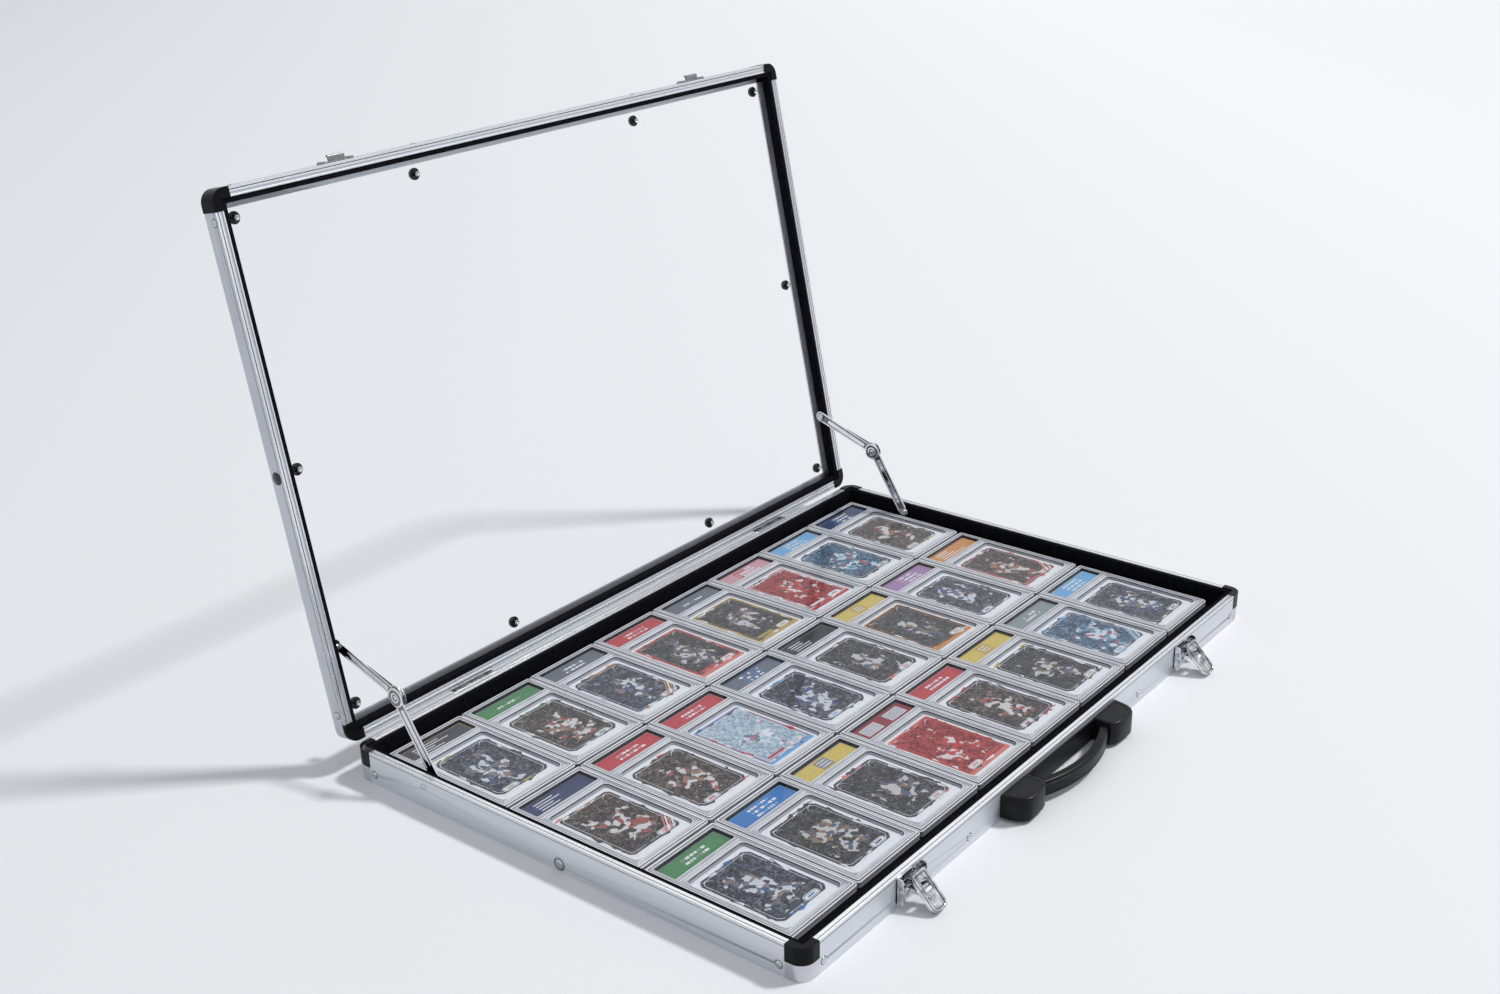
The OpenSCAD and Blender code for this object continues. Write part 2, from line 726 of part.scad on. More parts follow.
// The link: two bosses and a web. It carries the lever's pin.
module latch_link() {
    link_w = lever_w - 2 * latch_t - 2 * part_gap;
    web_t = 1.6;
    difference() {
        translate([-link_w / 2, link_at[0], link_at[1]]) rotate([link_angle, 0, 0]) {
            rotate([0, 90, 0]) cylinder(r = boss_r, h = link_w);
            translate([0, link_len, 0]) rotate([0, 90, 0]) cylinder(r = boss_r, h = link_w);
            translate([0, 0, -web_t / 2]) cube([link_w, link_len, web_t]);
        }
        translate([-link_w, link_at[0], link_at[1]]) rotate([0, 90, 0])
            cylinder(r = latch_pin_r + run_fit, h = 2 * link_w);
    }
    translate([-lever_w / 2 - part_gap, lever_at[0], lever_at[1]]) rotate([0, 90, 0])
        cylinder(r = latch_pin_r, h = lever_w + 2 * part_gap);
}

// Outline of the lever seen from the front, with its pin at the origin
lever_tip_r = 5.5;
module lever_outline(inset) {
    w = lever_w - 2 * inset;
    r = lever_tip_r - inset;
    low = -lever_tail + inset;
    translate([-w / 2, low + r]) square([w, lever_top - low - r - inset]);
    translate([-w / 2 + r, low]) square([w - 2 * r, r + eps]);
    for (s = [-1, 1]) translate([s * (w / 2 - r), low + r]) circle(r);
}

// The lever: a channel with a rounded tip, a window over the link and a hook at its top
module latch_lever() {
    wall_in = 0.8;
    outer = lever_d - wall_in;
    hook_reach = 4;
    window_w = 9;
    window_low = -5;
    window_h = 11;
    wall_top = 8;
    translate([0, lever_at[0], lever_at[1]]) rotate([lever_angle - 270, 0, 0]) difference() {
        union() {
            translate([0, -outer + latch_t, 0]) rotate([90, 0, 0]) linear_extrude(latch_t) lever_outline(0);
            translate([0, wall_in, 0]) rotate([90, 0, 0]) linear_extrude(lever_d) difference() {
                lever_outline(0);
                lever_outline(latch_t);
                translate([-lever_w, wall_top]) square([2 * lever_w, lever_top]);
            }
            translate([-lever_w / 2, -outer, lever_top - latch_t])
                cube([lever_w, outer + hook_reach, latch_t]);
        }
        translate([-lever_w, 0, 0]) rotate([0, 90, 0]) cylinder(r = latch_pin_r + run_fit, h = 2 * lever_w);
        translate([-window_w / 2, -outer - 1, window_low]) cube([window_w, latch_t + 2, window_h]);
    }
}

module latch_left_link() { color("silver") translate([-latch_x, 0, 0]) latch_link(); }
module latch_right_link() { color("silver") translate([latch_x, 0, 0]) latch_link(); }
module latch_left_lever() { color("lightgray") translate([-latch_x, 0, 0]) latch_lever(); }
module latch_right_lever() { color("lightgray") translate([latch_x, 0, 0]) latch_lever(); }

// Catches on the lid's front face, each with a ledge that the lever's hook pulls on
module latch_catches() {
    plate_low = 1.2;
    plate_h = 10.6;
    ledge_n = 4.4;
    ledge_t = 2.6;
    color("silver") in_lid() for (s = [-1, 1]) translate([s * latch_x, -half_d, 0]) {
        translate([-latch_w / 2, -latch_t, plate_low]) cube([latch_w, latch_t, plate_h]);
        translate([-lever_w / 2, -cheek_d - latch_t + 1, ledge_n]) cube([lever_w, cheek_d, ledge_t]);
    }
}

// Handle
module handle_backplate() {
    w = 2 * boot_in - 2 * part_gap;
    color("black") translate([-w / 2, -half_d - backplate_t, boot_z + 1])
        cube([w, backplate_t, boot_top - boot_z - 2]);
}

module handle_brackets() {
    taper = 9;
    over = 1;
    color("black") for (s = [0, 1]) mirror([s, 0, 0]) difference() {
        translate([boot_in, -half_d, boot_z]) linear_extrude(boot_top - boot_z)
            polygon([
                [0, 0], [boot_len, 0], [boot_len - 2, -boot_d + taper],
                [boot_len - taper, -boot_d], [4, -boot_d + 2], [0, -boot_d + 5]
            ]);
        translate([boot_in - over, -half_d - grip_out, grip_z]) rotate([0, 90, 0])
            cylinder(r = grip_pin_r + run_fit, h = grip_pin_in + 3 * over);
    }
}

module handle_grip() {
    end_x = boot_in - part_gap;
    bow_r = (end_x * end_x + grip_bow * grip_bow) / (2 * grip_bow);
    sweep = asin(end_x / bow_r) + 6;
    edge_r = 3;
    color("black") translate([0, -half_d - grip_out, grip_z]) {
        intersection() {
            translate([0, bow_r - grip_bow, 0]) rotate([0, 0, -90 - sweep])
                rotate_extrude(angle = 2 * sweep) translate([bow_r, 0]) {
                    square([grip_t, grip_h - 2 * edge_r], center = true);
                    square([grip_t - 2 * edge_r, grip_h], center = true);
                    for (sx = [-1, 1]) for (sy = [-1, 1])
                        translate([sx * (grip_t / 2 - edge_r), sy * (grip_h / 2 - edge_r)]) circle(edge_r);
                }
            translate([-end_x, -2 * bow_r, -grip_h]) cube([2 * end_x, 3 * bow_r, 2 * grip_h]);
        }
        for (s = [0, 1]) mirror([s, 0, 0]) translate([end_x - 2, 0, 0]) rotate([0, 90, 0])
            cylinder(r = grip_pin_r, h = grip_pin_in + 2);
    }
}

module foot_bores() {
    for (p = FOOT_PLACES) translate([p[0], p[1], 0]) cylinder(r = rivet_r + run_fit, h = lid_h + 1);
}

module lid_rail_x() {
    rail_along_x(lid_h, lid_rail_w, lid_flange);
}

module lid_rail_y() {
    rail_along_y(lid_h, lid_rail_w, lid_flange);
}

module lid_front_rail() {
    color("silver") in_lid() difference() {
        lid_rail_x();
        lid_bores();
    }
}

slot_rise = lip_t + 0.4;
module lid_back_rail() {
    color("silver") in_lid() difference() {
        mirror([0, 1, 0]) lid_rail_x();
        hinge_slots(-1, slot_rise);
        lid_bores();
    }
}

module lid_left_rail() {
    color("silver") in_lid() difference() {
        lid_rail_y();
        lid_bores();
    }
}

module lid_right_rail() {
    color("silver") in_lid() difference() {
        mirror([1, 0, 0]) lid_rail_y();
        lid_bores();
    }
}

module lid_corner_brackets() {
    color("gainsboro") in_lid() difference() {
        union() {
            on_corners(ends = [-1]) corner_piece(lid_h, lid_rail_w, lid_h);
            on_corners(ends = [1]) corner_piece(lid_h, lid_rail_w, lid_cap_h);
        }
        at_lid_rivets() rivet_bore();
    }
}

module lid_corner_caps() {
    color("black") in_lid() {
        on_corners(ends = [-1]) corner_cap(lid_h, lid_rail_w, lid_h);
        on_corners(ends = [1]) corner_cap(lid_h, lid_rail_w, lid_cap_h);
    }
}

module lid_window() {
    w = case_w - 2 * (lid_rail_w + part_gap);
    d = case_d - 2 * (lid_rail_w + part_gap);
    color("lightcyan", 0.3) in_lid() difference() {
        translate([-w / 2, -d / 2, window_n]) cube([w, d, window_t]);
        foot_bores();
    }
}

module lid_wall_lining() {
    color("black") in_lid() difference() {
        wall_lining(lid_rail_w, lining_drop, window_n);
        for (face = ["left", "right"]) on_face(face, stay_y, stay_up_n) stay_bore();
    }
}

// A foot on the outer side of the window, with its shank and a flush inner end
module window_feet() {
    color("black") in_lid() for (p = FOOT_PLACES) translate([p[0], p[1], window_n]) {
        cylinder(r = rivet_r, h = window_t + eps);
        translate([0, 0, window_t]) cylinder(r1 = foot_r, r2 = foot_r - 0.8, h = foot_h);
    }
}

module lid_rivets() {
    color("lightgray") in_lid() {
        at_lid_rivets() rivet();
        at_hinge_rivets(lid_hinge_rivet_n) translate([0, 0, leaf_t]) rivet(depth = rail_wall + leaf_t + 1);
        for (face = ["left", "right"]) {
            on_face(face, 0, lid_rivet_n) rivet(head_r = big_rivet_r);
            on_face(face, stay_y, stay_up_n) stay_pin(up_arm_x, lid_inner);
        }
    }
}

// A flat arm along +Y with rounded ends, built against x = 0 and arm_t thick
module arm_bar(length, end_r) {
    rotate([90, 0, 90]) linear_extrude(arm_t) {
        translate([0, -arm_w / 2]) square([length, arm_w]);
        circle(ring_r);
        translate([length, 0]) circle(end_r);
    }
}

// Raised rib along the middle of the upper arm, clear of the elbow's disc at any opening
module arm_rib(rib_t) {
    rib_w = arm_w * 0.4;
    rib_end = arm_len + min(drift_x) - elbow_disc_r - 1;
    translate([-rib_t, ring_r, -rib_w / 2]) cube([rib_t + eps, rib_end - ring_r, rib_w]);
}

// The lower arm, on the right side: it carries the elbow's rivet and its cover disc
module lower_arm() {
    disc_x = up_arm_x - stay_gap - pin_head_t;
    translate([0, low_pivot[0], low_pivot[1]]) rotate([low_open, 0, 0]) {
        difference() {
            translate([low_arm_x, 0, 0]) arm_bar(arm_len, ring_r);
            translate([low_arm_x - 1, 0, 0]) rotate([0, 90, 0])
                cylinder(r = stay_pin_r + run_fit, h = arm_t + 2);
        }
        translate([disc_x, arm_len, 0]) rotate([0, 90, 0]) {
            cylinder(r = elbow_pin_r, h = low_arm_x - disc_x + eps);
            cylinder(r1 = elbow_disc_r - 0.5, r2 = elbow_disc_r, h = pin_head_t);
        }
    }
}

// The upper arm, on the right side: its elbow hole is wide enough for the drift
module upper_arm() {
    at = up_pivot(open_angle);
    translate([0, at[0], at[1]]) rotate([up_open, 0, 0]) difference() {
        union() {
            translate([up_arm_x, 0, 0]) rotate([90, 0, 90]) linear_extrude(arm_t) {
                translate([0, -arm_w / 2]) square([arm_len - elbow_hole_r, arm_w]);
                circle(ring_r);
                translate([arm_len + drift_mid[0], drift_mid[1]]) circle(elbow_ring_r);
            }
            translate([up_arm_x, 0, 0]) arm_rib(0.8);
        }
        translate([up_arm_x - 1, 0, 0]) rotate([0, 90, 0])
            cylinder(r = stay_pin_r + run_fit, h = arm_t + 2);
        translate([up_arm_x - 1, arm_len + drift_mid[0], drift_mid[1]]) rotate([0, 90, 0])
            cylinder(r = elbow_hole_r, h = arm_t + 2);
    }
}

module stay_right_lower_arm() { color("silver") lower_arm(); }
module stay_right_upper_arm() { color("silver") upper_arm(); }
module stay_left_lower_arm() { color("silver") mirror([1, 0, 0]) lower_arm(); }
module stay_left_upper_arm() { color("silver") mirror([1, 0, 0]) upper_arm(); }

// A flat plate with rounded corners, centred on the origin
module rounded_plate(w, d, h, r) {
    linear_extrude(h) {
        square([w, d - 2 * r], center = true);
        square([w - 2 * r, d], center = true);
        for (sx = [-1, 1]) for (sy = [-1, 1]) translate([sx * (w / 2 - r), sy * (d / 2 - r)]) circle(r);
    }
}

card_y = -slab_d / 2 + card_margin + card_d / 2;
label_y = slab_d / 2 - label_margin - label_d / 2;
card_play = 0.2;
slab_split = slab_t * 0.6;

module card_windows(low, high, edge) {
    translate([-card_w / 2 - edge, card_y - card_d / 2 - edge, low])
        cube([card_w + 2 * edge, card_d + 2 * edge, high - low]);
    translate([-label_w / 2 - edge, label_y - label_d / 2 - edge, low])
        cube([label_w + 2 * edge, label_d + 2 * edge, high - low]);
}

// One slab: two clear halves with a card and its label between them
module card_slab() {
    color("whitesmoke") difference() {
        rounded_plate(slab_w, slab_d, slab_split, slab_corner_r);
        card_windows(slab_split - card_t - card_play, slab_split + 1, card_play);
    }
    color("lightsteelblue") card_windows(slab_split - card_t - card_play, slab_split - card_play, 0);
    color("white") difference() {
        union() {
            translate([0, 0, slab_split])
                rounded_plate(slab_w, slab_d, slab_t - slab_step_h - slab_split, slab_corner_r);
            translate([0, 0, slab_t - slab_step_h - eps])
                rounded_plate(slab_w - 2 * slab_step_w, slab_d - 2 * slab_step_w, slab_step_h + eps, slab_corner_r - slab_step_w);
        }
        card_windows(slab_t - slab_recess, slab_t + 1, slab_recess_edge);
    }
}

base_front_rail();
base_back_rail();
base_left_rail();
base_right_rail();
base_corner_brackets();
base_corner_caps();
base_bottom_panel();
base_wall_lining();
base_floor_pad();
base_rivets();
hinge_base_leaves();
hinge_lid_leaves();
hinge_pins();
latch_base_plates();
latch_catches();
latch_left_link();
latch_left_lever();
latch_right_link();
latch_right_lever();
handle_backplate();
handle_brackets();
handle_grip();
lid_front_rail();
lid_back_rail();
lid_left_rail();
lid_right_rail();
lid_corner_brackets();
lid_corner_caps();
lid_window();
lid_wall_lining();
window_feet();
lid_rivets();
stay_left_lower_arm();
stay_left_upper_arm();
stay_right_lower_arm();
stay_right_upper_arm();
for (row = [1 : slab_rows]) for (col = [1 : slab_cols])
    translate([slab_x(col), slab_y(row), slab_z]) card_slab();
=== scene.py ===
import math
import random

import bmesh
import bpy
from mathutils import Matrix, Vector


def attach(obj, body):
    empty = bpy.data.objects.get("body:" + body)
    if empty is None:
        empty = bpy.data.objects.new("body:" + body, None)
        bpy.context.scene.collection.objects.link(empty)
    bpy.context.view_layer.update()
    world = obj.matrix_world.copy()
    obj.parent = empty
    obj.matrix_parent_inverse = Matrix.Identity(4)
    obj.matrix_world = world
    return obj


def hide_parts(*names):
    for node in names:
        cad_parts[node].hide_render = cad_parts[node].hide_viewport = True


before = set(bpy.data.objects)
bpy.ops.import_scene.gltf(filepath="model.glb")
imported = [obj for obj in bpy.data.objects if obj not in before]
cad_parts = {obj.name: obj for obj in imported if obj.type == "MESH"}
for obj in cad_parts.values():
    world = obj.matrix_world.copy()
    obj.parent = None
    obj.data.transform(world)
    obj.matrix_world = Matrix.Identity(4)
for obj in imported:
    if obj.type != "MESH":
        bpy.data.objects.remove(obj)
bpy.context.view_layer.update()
print("frame loaded:", len(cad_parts), "solids")


def shift(x, y, z):
    return Matrix.Translation((x, y, z))


def rotation(degrees, axis):
    return Matrix.Rotation(math.radians(degrees), 4, axis)


# The case's own sizes in millimetres, as the solids have them
case = {
    "halfWidth": 351.0, "halfDepth": 229.0, "trayHeight": 28.0, "rimGap": 1.6,
    "hingeOut": 2.4, "hingeDrop": 2.1, "openAngle": 101.5, "cornerLeg": 17.0,
}
hingeY = case["halfDepth"] + case["hingeOut"]
hingeZ = case["trayHeight"] - case["hingeDrop"]
shutRimZ = case["trayHeight"] + case["rimGap"]
toMetres = Matrix.Scale(0.001, 4)
asBuilt = Matrix.Identity(4)
# The lid's frame: x and y as in the shut case, and depth from the lid's rim upwards
inLid = (
    shift(0, hingeY, hingeZ)
    @ rotation(-case["openAngle"], "X")
    @ shift(0, -hingeY, shutRimZ - hingeZ)
)


def onFace(face, along, up):
    # z points out of the case, x along the face and y upwards
    turn = {"front": 0, "back": 180, "left": -90, "right": 90}[face]
    spot = {
        "front": (along, -case["halfDepth"], up), "back": (along, case["halfDepth"], up),
        "left": (-case["halfWidth"], along, up), "right": (case["halfWidth"], along, up),
    }[face]
    upright = rotation(90, "X")
    return Matrix.Translation(spot) @ rotation(turn, "Z") @ upright


# The photograph's camera
shot = {
    "place": (-1.157199, -0.829267, 0.779107), "lens": 43.319, "sensor": 36.0, "farClip": 300,
    "right": (0.6163871, -0.7872645, -0.0164279),
    "down": (-0.3116289, -0.2247219, -0.9232503),
    "forward": (0.7231459, 0.5742037, -0.3838593),
}


def setCamera():
    lens = bpy.data.cameras.new("shotCamera")
    lens.sensor_width = shot["sensor"]
    lens.lens = shot["lens"]
    lens.clip_end = shot["farClip"]
    camera = bpy.data.objects.new("shotCamera", lens)
    bpy.context.collection.objects.link(camera)
    columns = (Vector(shot["right"]), -Vector(shot["down"]), -Vector(shot["forward"]))
    turn = Matrix.Identity(4)
    for column, axis in enumerate(columns):
        for row in range(3):
            turn[row][column] = axis[row]
    camera.matrix_world = Matrix.Translation(shot["place"]) @ turn
    bpy.context.scene.camera = camera


def addNode(tree, kind, inputs=None, **settings):
    # A shader node; each input is a value or the output that feeds it
    made = tree.nodes.new("ShaderNode" + kind)
    for name, value in settings.items():
        setattr(made, name, value)
    for socket, value in (inputs or {}).items():
        feed(tree, made, socket, value)
    return made


def feed(tree, target, socket, value):
    if isinstance(value, bpy.types.NodeSocket):
        tree.links.new(value, target.inputs[socket])
    else:
        target.inputs[socket].default_value = value


def colourRamp(tree, source, steps, stepped=False):
    ramp = addNode(tree, "ValToRGB", {"Fac": source})
    if stepped:
        ramp.color_ramp.interpolation = "CONSTANT"
    held = ramp.color_ramp.elements
    held[0].position, held[0].color = steps[0][0], (*steps[0][1], 1)
    held[1].position, held[1].color = steps[-1][0], (*steps[-1][1], 1)
    for position, colour in steps[1:-1]:
        held.new(position).color = (*colour, 1)
    return ramp.outputs["Color"]


def maths(tree, operation, *values, kind="Math", result=0):
    return addNode(tree, kind, dict(enumerate(values)), operation=operation).outputs[result]


def noise(tree, place, scale, **more):
    return addNode(tree, "TexNoise", {"Vector": place, "Scale": scale, **more}).outputs


def between(tree, source, low, high):
    # Spreads what runs from 0 to 1 over a range
    return addNode(tree, "MapRange", {"Value": source, "To Min": low, "To Max": high}).outputs["Result"]


def newFinish(name):
    finish = bpy.data.materials.new(name)
    finish.use_nodes = True
    return finish, finish.node_tree, finish.node_tree.nodes["Principled BSDF"]


# One broad lamp and an even sky
light = {
    "keyFrom": (0.486, -0.376, 0.788), "keyAngle": 7.5, "keyStrength": 1.87,
    "skyLevel": 0.52, "skyTint": (0.95, 0.97, 1.0),
    "wallLow": (0.50, 0.52, 0.56), "ceiling": (1, 1, 1), "ceilingFrom": 0.75,
    "horizon": (0.845, 0.858, 0.885),
}


def addLamp():
    lamp = bpy.data.lights.new("keyLamp", "SUN")
    lamp.angle = math.radians(light["keyAngle"])
    lamp.energy = light["keyStrength"]
    holder = bpy.data.objects.new("keyLamp", lamp)
    bpy.context.collection.objects.link(holder)
    holder.rotation_euler = Vector(light["keyFrom"]).to_track_quat("Z", "Y").to_euler()


def setSky():
    sky = bpy.data.worlds.new("studio")
    sky.use_nodes = True
    bpy.context.scene.world = sky
    tree = sky.node_tree
    tree.nodes.clear()
    lit = addNode(tree, "Background", {"Color": (*light["skyTint"], 1), "Strength": light["skyLevel"]})
    # Metal and glass mirror a bright ceiling over greyer walls
    place = addNode(tree, "TexCoord")
    parts = addNode(tree, "SeparateXYZ", {0: place.outputs["Generated"]})
    walls = colourRamp(tree, parts.outputs["Z"], (
        (0.0, light["wallLow"]), (light["ceilingFrom"], light["ceiling"])))
    rays = addNode(tree, "LightPath").outputs
    # Straight behind the floor's far edge the wall has the floor's own tone
    wall = addNode(tree, "Mix", {
        "Factor": rays["Is Camera Ray"], 6: walls, 7: (*light["horizon"], 1)}, data_type="RGBA")
    seen = addNode(tree, "Background", {"Color": wall.outputs[2], "Strength": 1.0})
    share = rays["Is Camera Ray"]
    for ray in ("Is Glossy Ray", "Is Transmission Ray"):
        share = maths(tree, "MAXIMUM", share, rays[ray])
    blend = addNode(tree, "MixShader", {0: share, 1: lit.outputs[0], 2: seen.outputs[0]})
    addNode(tree, "OutputWorld", {"Surface": blend.outputs[0]})
    bpy.context.scene.view_settings.view_transform = "Standard"


# A pale paper floor, painted darker behind and to the left of the case and lighter in front and to the right
# as painted shade and light, and even again far away
paper = {
    "half": 60, "span": 8.0, "across": (0.7071, -0.7071, 0), "far": (0.880, 0.885, 0.900),
    "away": (0.698, 0.708, 0.737), "awayShare": 0.372, "near": (0.962, 0.965, 0.982), "nearShare": 0.5875,
}


def addFloor():
    bm = bmesh.new()
    bmesh.ops.create_grid(bm, x_segments=8, y_segments=8, size=paper["half"])
    mesh = bpy.data.meshes.new("studioFloor")
    bm.to_mesh(mesh)
    bm.free()
    floor = bpy.data.objects.new("studioFloor", mesh)
    bpy.context.collection.objects.link(floor)
    finish, tree, shader = newFinish("studioPaper")
    place = addNode(tree, "TexCoord").outputs["Object"]
    # Painted shade and light: the colour runs from darker at the back left to lighter at the front right
    across = maths(tree, "DOT_PRODUCT", place, paper["across"], kind="VectorMath", result="Value")
    share = addNode(tree, "MapRange", {
        "Value": across, "From Min": -paper["span"], "From Max": paper["span"]})
    shade = colourRamp(tree, share.outputs["Result"], (
        (0.0, paper["far"]), (paper["awayShare"], paper["away"]),
        (paper["nearShare"], paper["near"]), (1.0, paper["far"])))
    feed(tree, shader, "Base Color", shade)
    feed(tree, shader, "Roughness", 1.0)
    feed(tree, shader, "Specular IOR Level", 0.0)
    mesh.materials.append(finish)


setCamera()
addLamp()
setSky()
addFloor()
print("camera, lamp, sky and floor set")

# Finishes of metal, plastic, felt, clear sheet and print


def makeFinish(name, look):
    finish, tree, shader = newFinish(name)
    place = addNode(tree, "TexCoord")
    spread = addNode(tree, "Mapping", {
        "Vector": place.outputs["Object"], "Scale": look.get("stretch", (1, 1, 1))}).outputs["Vector"]
    cloud = noise(tree, spread, look["cloudScale"], Detail=3)["Fac"]
    grain = noise(tree, spread, look["grainScale"], Detail=2)["Fac"]
    tint = colourRamp(tree, cloud, ((0.3, look["colour"]), (0.7, look["otherColour"])))
    feed(tree, shader, "Base Color", tint)
    feed(tree, shader, "Roughness", between(tree, grain, *look["roughness"]))
    if "bump" in look:
        bump = addNode(tree, "Bump", {"Height": grain, "Distance": look["bump"], "Strength": 0.6})
        feed(tree, shader, "Normal", bump.outputs["Normal"])
    feed(tree, shader, "Metallic", look.get("metallic", 0))
    feed(tree, shader, "Specular IOR Level", look.get("shine", 0.5))
    return finish


def makeClear(name, look):
    # Clear sheet: what is behind shows, with a mirror that grows towards a flat view
    finish, tree = newFinish(name)[:2]
    tree.nodes.clear()
    smear = noise(tree, addNode(tree, "TexCoord").outputs["Object"], look["smearScale"])["Fac"]
    gloss = between(tree, smear, *look["roughness"])
    mirror = addNode(tree, "BsdfGlossy", {"Color": (1, 1, 1, 1), "Roughness": gloss})
    through = addNode(tree, "BsdfTransparent", {"Color": (*look["tint"], 1)})
    edge = addNode(tree, "LayerWeight", {"Blend": look["edgeMirror"]})
    # Only the outer side of a sheet mirrors
    side = addNode(tree, "NewGeometry")
    outer = maths(tree, "SUBTRACT", 1.0, side.outputs["Backfacing"])
    share = maths(tree, "MULTIPLY", edge.outputs["Fresnel"], outer)
    blend = addNode(tree, "MixShader", {0: share, 1: through.outputs[0], 2: mirror.outputs[0]})
    addNode(tree, "OutputMaterial", {"Surface": blend.outputs[0]})
    return finish


# Each finish: two colours and their scale, the grain's scale, roughness from and to, and what else it has
finishRows = {
    "cornerMetal": ((0.60, 0.61, 0.64), (0.66, 0.67, 0.70), 60, 1100, (0.28, 0.42),
        {"metallic": 1, "bump": 0.00001}),
    "capBlack": ((0.004, 0.004, 0.005), (0.008, 0.008, 0.009), 90, 600, (0.12, 0.2),
        {"bump": 0.00001, "shine": 0.11}),
    "handleBlack": ((0.005, 0.005, 0.006), (0.010, 0.010, 0.011), 120, 2200, (0.26, 0.4),
        {"bump": 0.00003, "shine": 0.16}),
    "feltBlack": ((0.004, 0.004, 0.0055), (0.010, 0.010, 0.013), 260, 2600, (0.85, 1.0),
        {"bump": 0.0002, "shine": 0.02}),
    "foamBlack": ((0.004, 0.004, 0.005), (0.009, 0.009, 0.011), 320, 1500, (0.9, 1.0),
        {"bump": 0.0002, "shine": 0.02}),
    "panelBlack": ((0.02, 0.02, 0.021), (0.035, 0.035, 0.037), 150, 1200, (0.45, 0.6), {"bump": 0.00005}),
    "rivetSteel": ((0.52, 0.53, 0.55), (0.62, 0.63, 0.65), 300, 1500, (0.16, 0.28), {"metallic": 1}),
    # rivetBlackAndShade: black of the lid's big rivets, and painted shade at rivet feet, behind the latch
    # slots and in the catch slots
    "rivetBlackAndShade": ((0.012, 0.012, 0.013), (0.025, 0.025, 0.027), 300, 1200, (0.12, 0.2), {}),
    "hingeSteel": ((0.10, 0.103, 0.11), (0.17, 0.175, 0.185), 200, 1300, (0.2, 0.32), {"metallic": 1}),
    "catchSteel": ((0.24, 0.245, 0.26), (0.38, 0.385, 0.40), 260, 900, (0.12, 0.24), {"metallic": 1}),
    # seamAndGrooveShade: dark seam lines, and painted shade down in the rims' grooves
    "seamAndGrooveShade": ((0.05, 0.052, 0.06), (0.09, 0.093, 0.105), 90, 900, (0.5, 0.7), {"shine": 0.1}),
    # chrome: the dark and bright patches in its colour are painted reflection
    "chromePaintedReflection": ((0.22, 0.225, 0.24), (0.86, 0.87, 0.90), 170, 500, (0.05, 0.12), {"metallic": 1}),
    "stayChrome": ((0.74, 0.75, 0.78), (0.84, 0.85, 0.87), 90, 700, (0.08, 0.16), {"metallic": 1}),
    # stayRecessPaintedShade: painted shade in the stays' sunk floors and the elbow disc's grooves
    "stayRecessPaintedShade": ((0.16, 0.165, 0.18), (0.24, 0.245, 0.26), 90, 700, (0.12, 0.24), {"metallic": 1}),
    # lipPaintedHighlight: bright strips along the rims' tops, painted highlight
    "lipPaintedHighlight": ((0.86, 0.875, 0.90), (0.93, 0.94, 0.955), 30, 1200, (0.22, 0.34), {"metallic": 0.85}),
    "footRubber": ((0.008, 0.008, 0.009), (0.016, 0.016, 0.018), 200, 900, (0.2, 0.32), {"bump": 0.00001}),
    "slabFrost": ((0.34, 0.355, 0.40), (0.46, 0.48, 0.53), 55, 500, (0.14, 0.26), {}),
    "slabFloor": ((0.40, 0.41, 0.45), (0.50, 0.51, 0.55), 60, 500, (0.2, 0.3), {"shine": 0.6}),
    # slabGlint is painted highlight on ridges, lips and ribs; slabShade is dark seams, and painted shade in
    # grooves, recesses and on the levers' rims
    "slabGlint": ((0.74, 0.76, 0.80), (0.86, 0.88, 0.91), 40, 500, (0.08, 0.16), {"shine": 0.6}),
    "slabShade": ((0.035, 0.037, 0.045), (0.075, 0.078, 0.09), 50, 500, (0.14, 0.22), {"shine": 0.3}),
    "cardStock": ((0.80, 0.81, 0.83), (0.86, 0.865, 0.88), 200, 1800, (0.4, 0.5), {"bump": 0.00001}),
}
# Rails: brushed along their length; the tray's rails are painted lighter than the lid's as painted light, its
# left and right rails lightest
railLook = {
    "cloudScale": 14, "grainScale": 1400, "roughness": (0.33, 0.47), "metallic": 0.62, "bump": 0.00001,
}
railTones = {
    "railAlong": ((0.57, 0.60, 0.65), (0.63, 0.66, 0.71), (0.2, 1, 1)),
    "railAcross": ((0.57, 0.60, 0.65), (0.63, 0.66, 0.71), (1, 0.2, 1)),
    "trayRailAlongPaintedLight": ((0.66, 0.69, 0.74), (0.72, 0.75, 0.80), (0.2, 1, 1)),
    "trayRailAcrossPaintedLight": ((0.70, 0.73, 0.78), (0.76, 0.79, 0.84), (1, 0.2, 1)),
}
lookParts = ("colour", "otherColour", "cloudScale", "grainScale", "roughness")
finishLooks = {name: dict(zip(lookParts, look), **more) for name, (*look, more) in finishRows.items()}
for rail, (tone, otherTone, stretch) in railTones.items():
    finishLooks[rail] = {"colour": tone, "otherColour": otherTone, "stretch": stretch, **railLook}

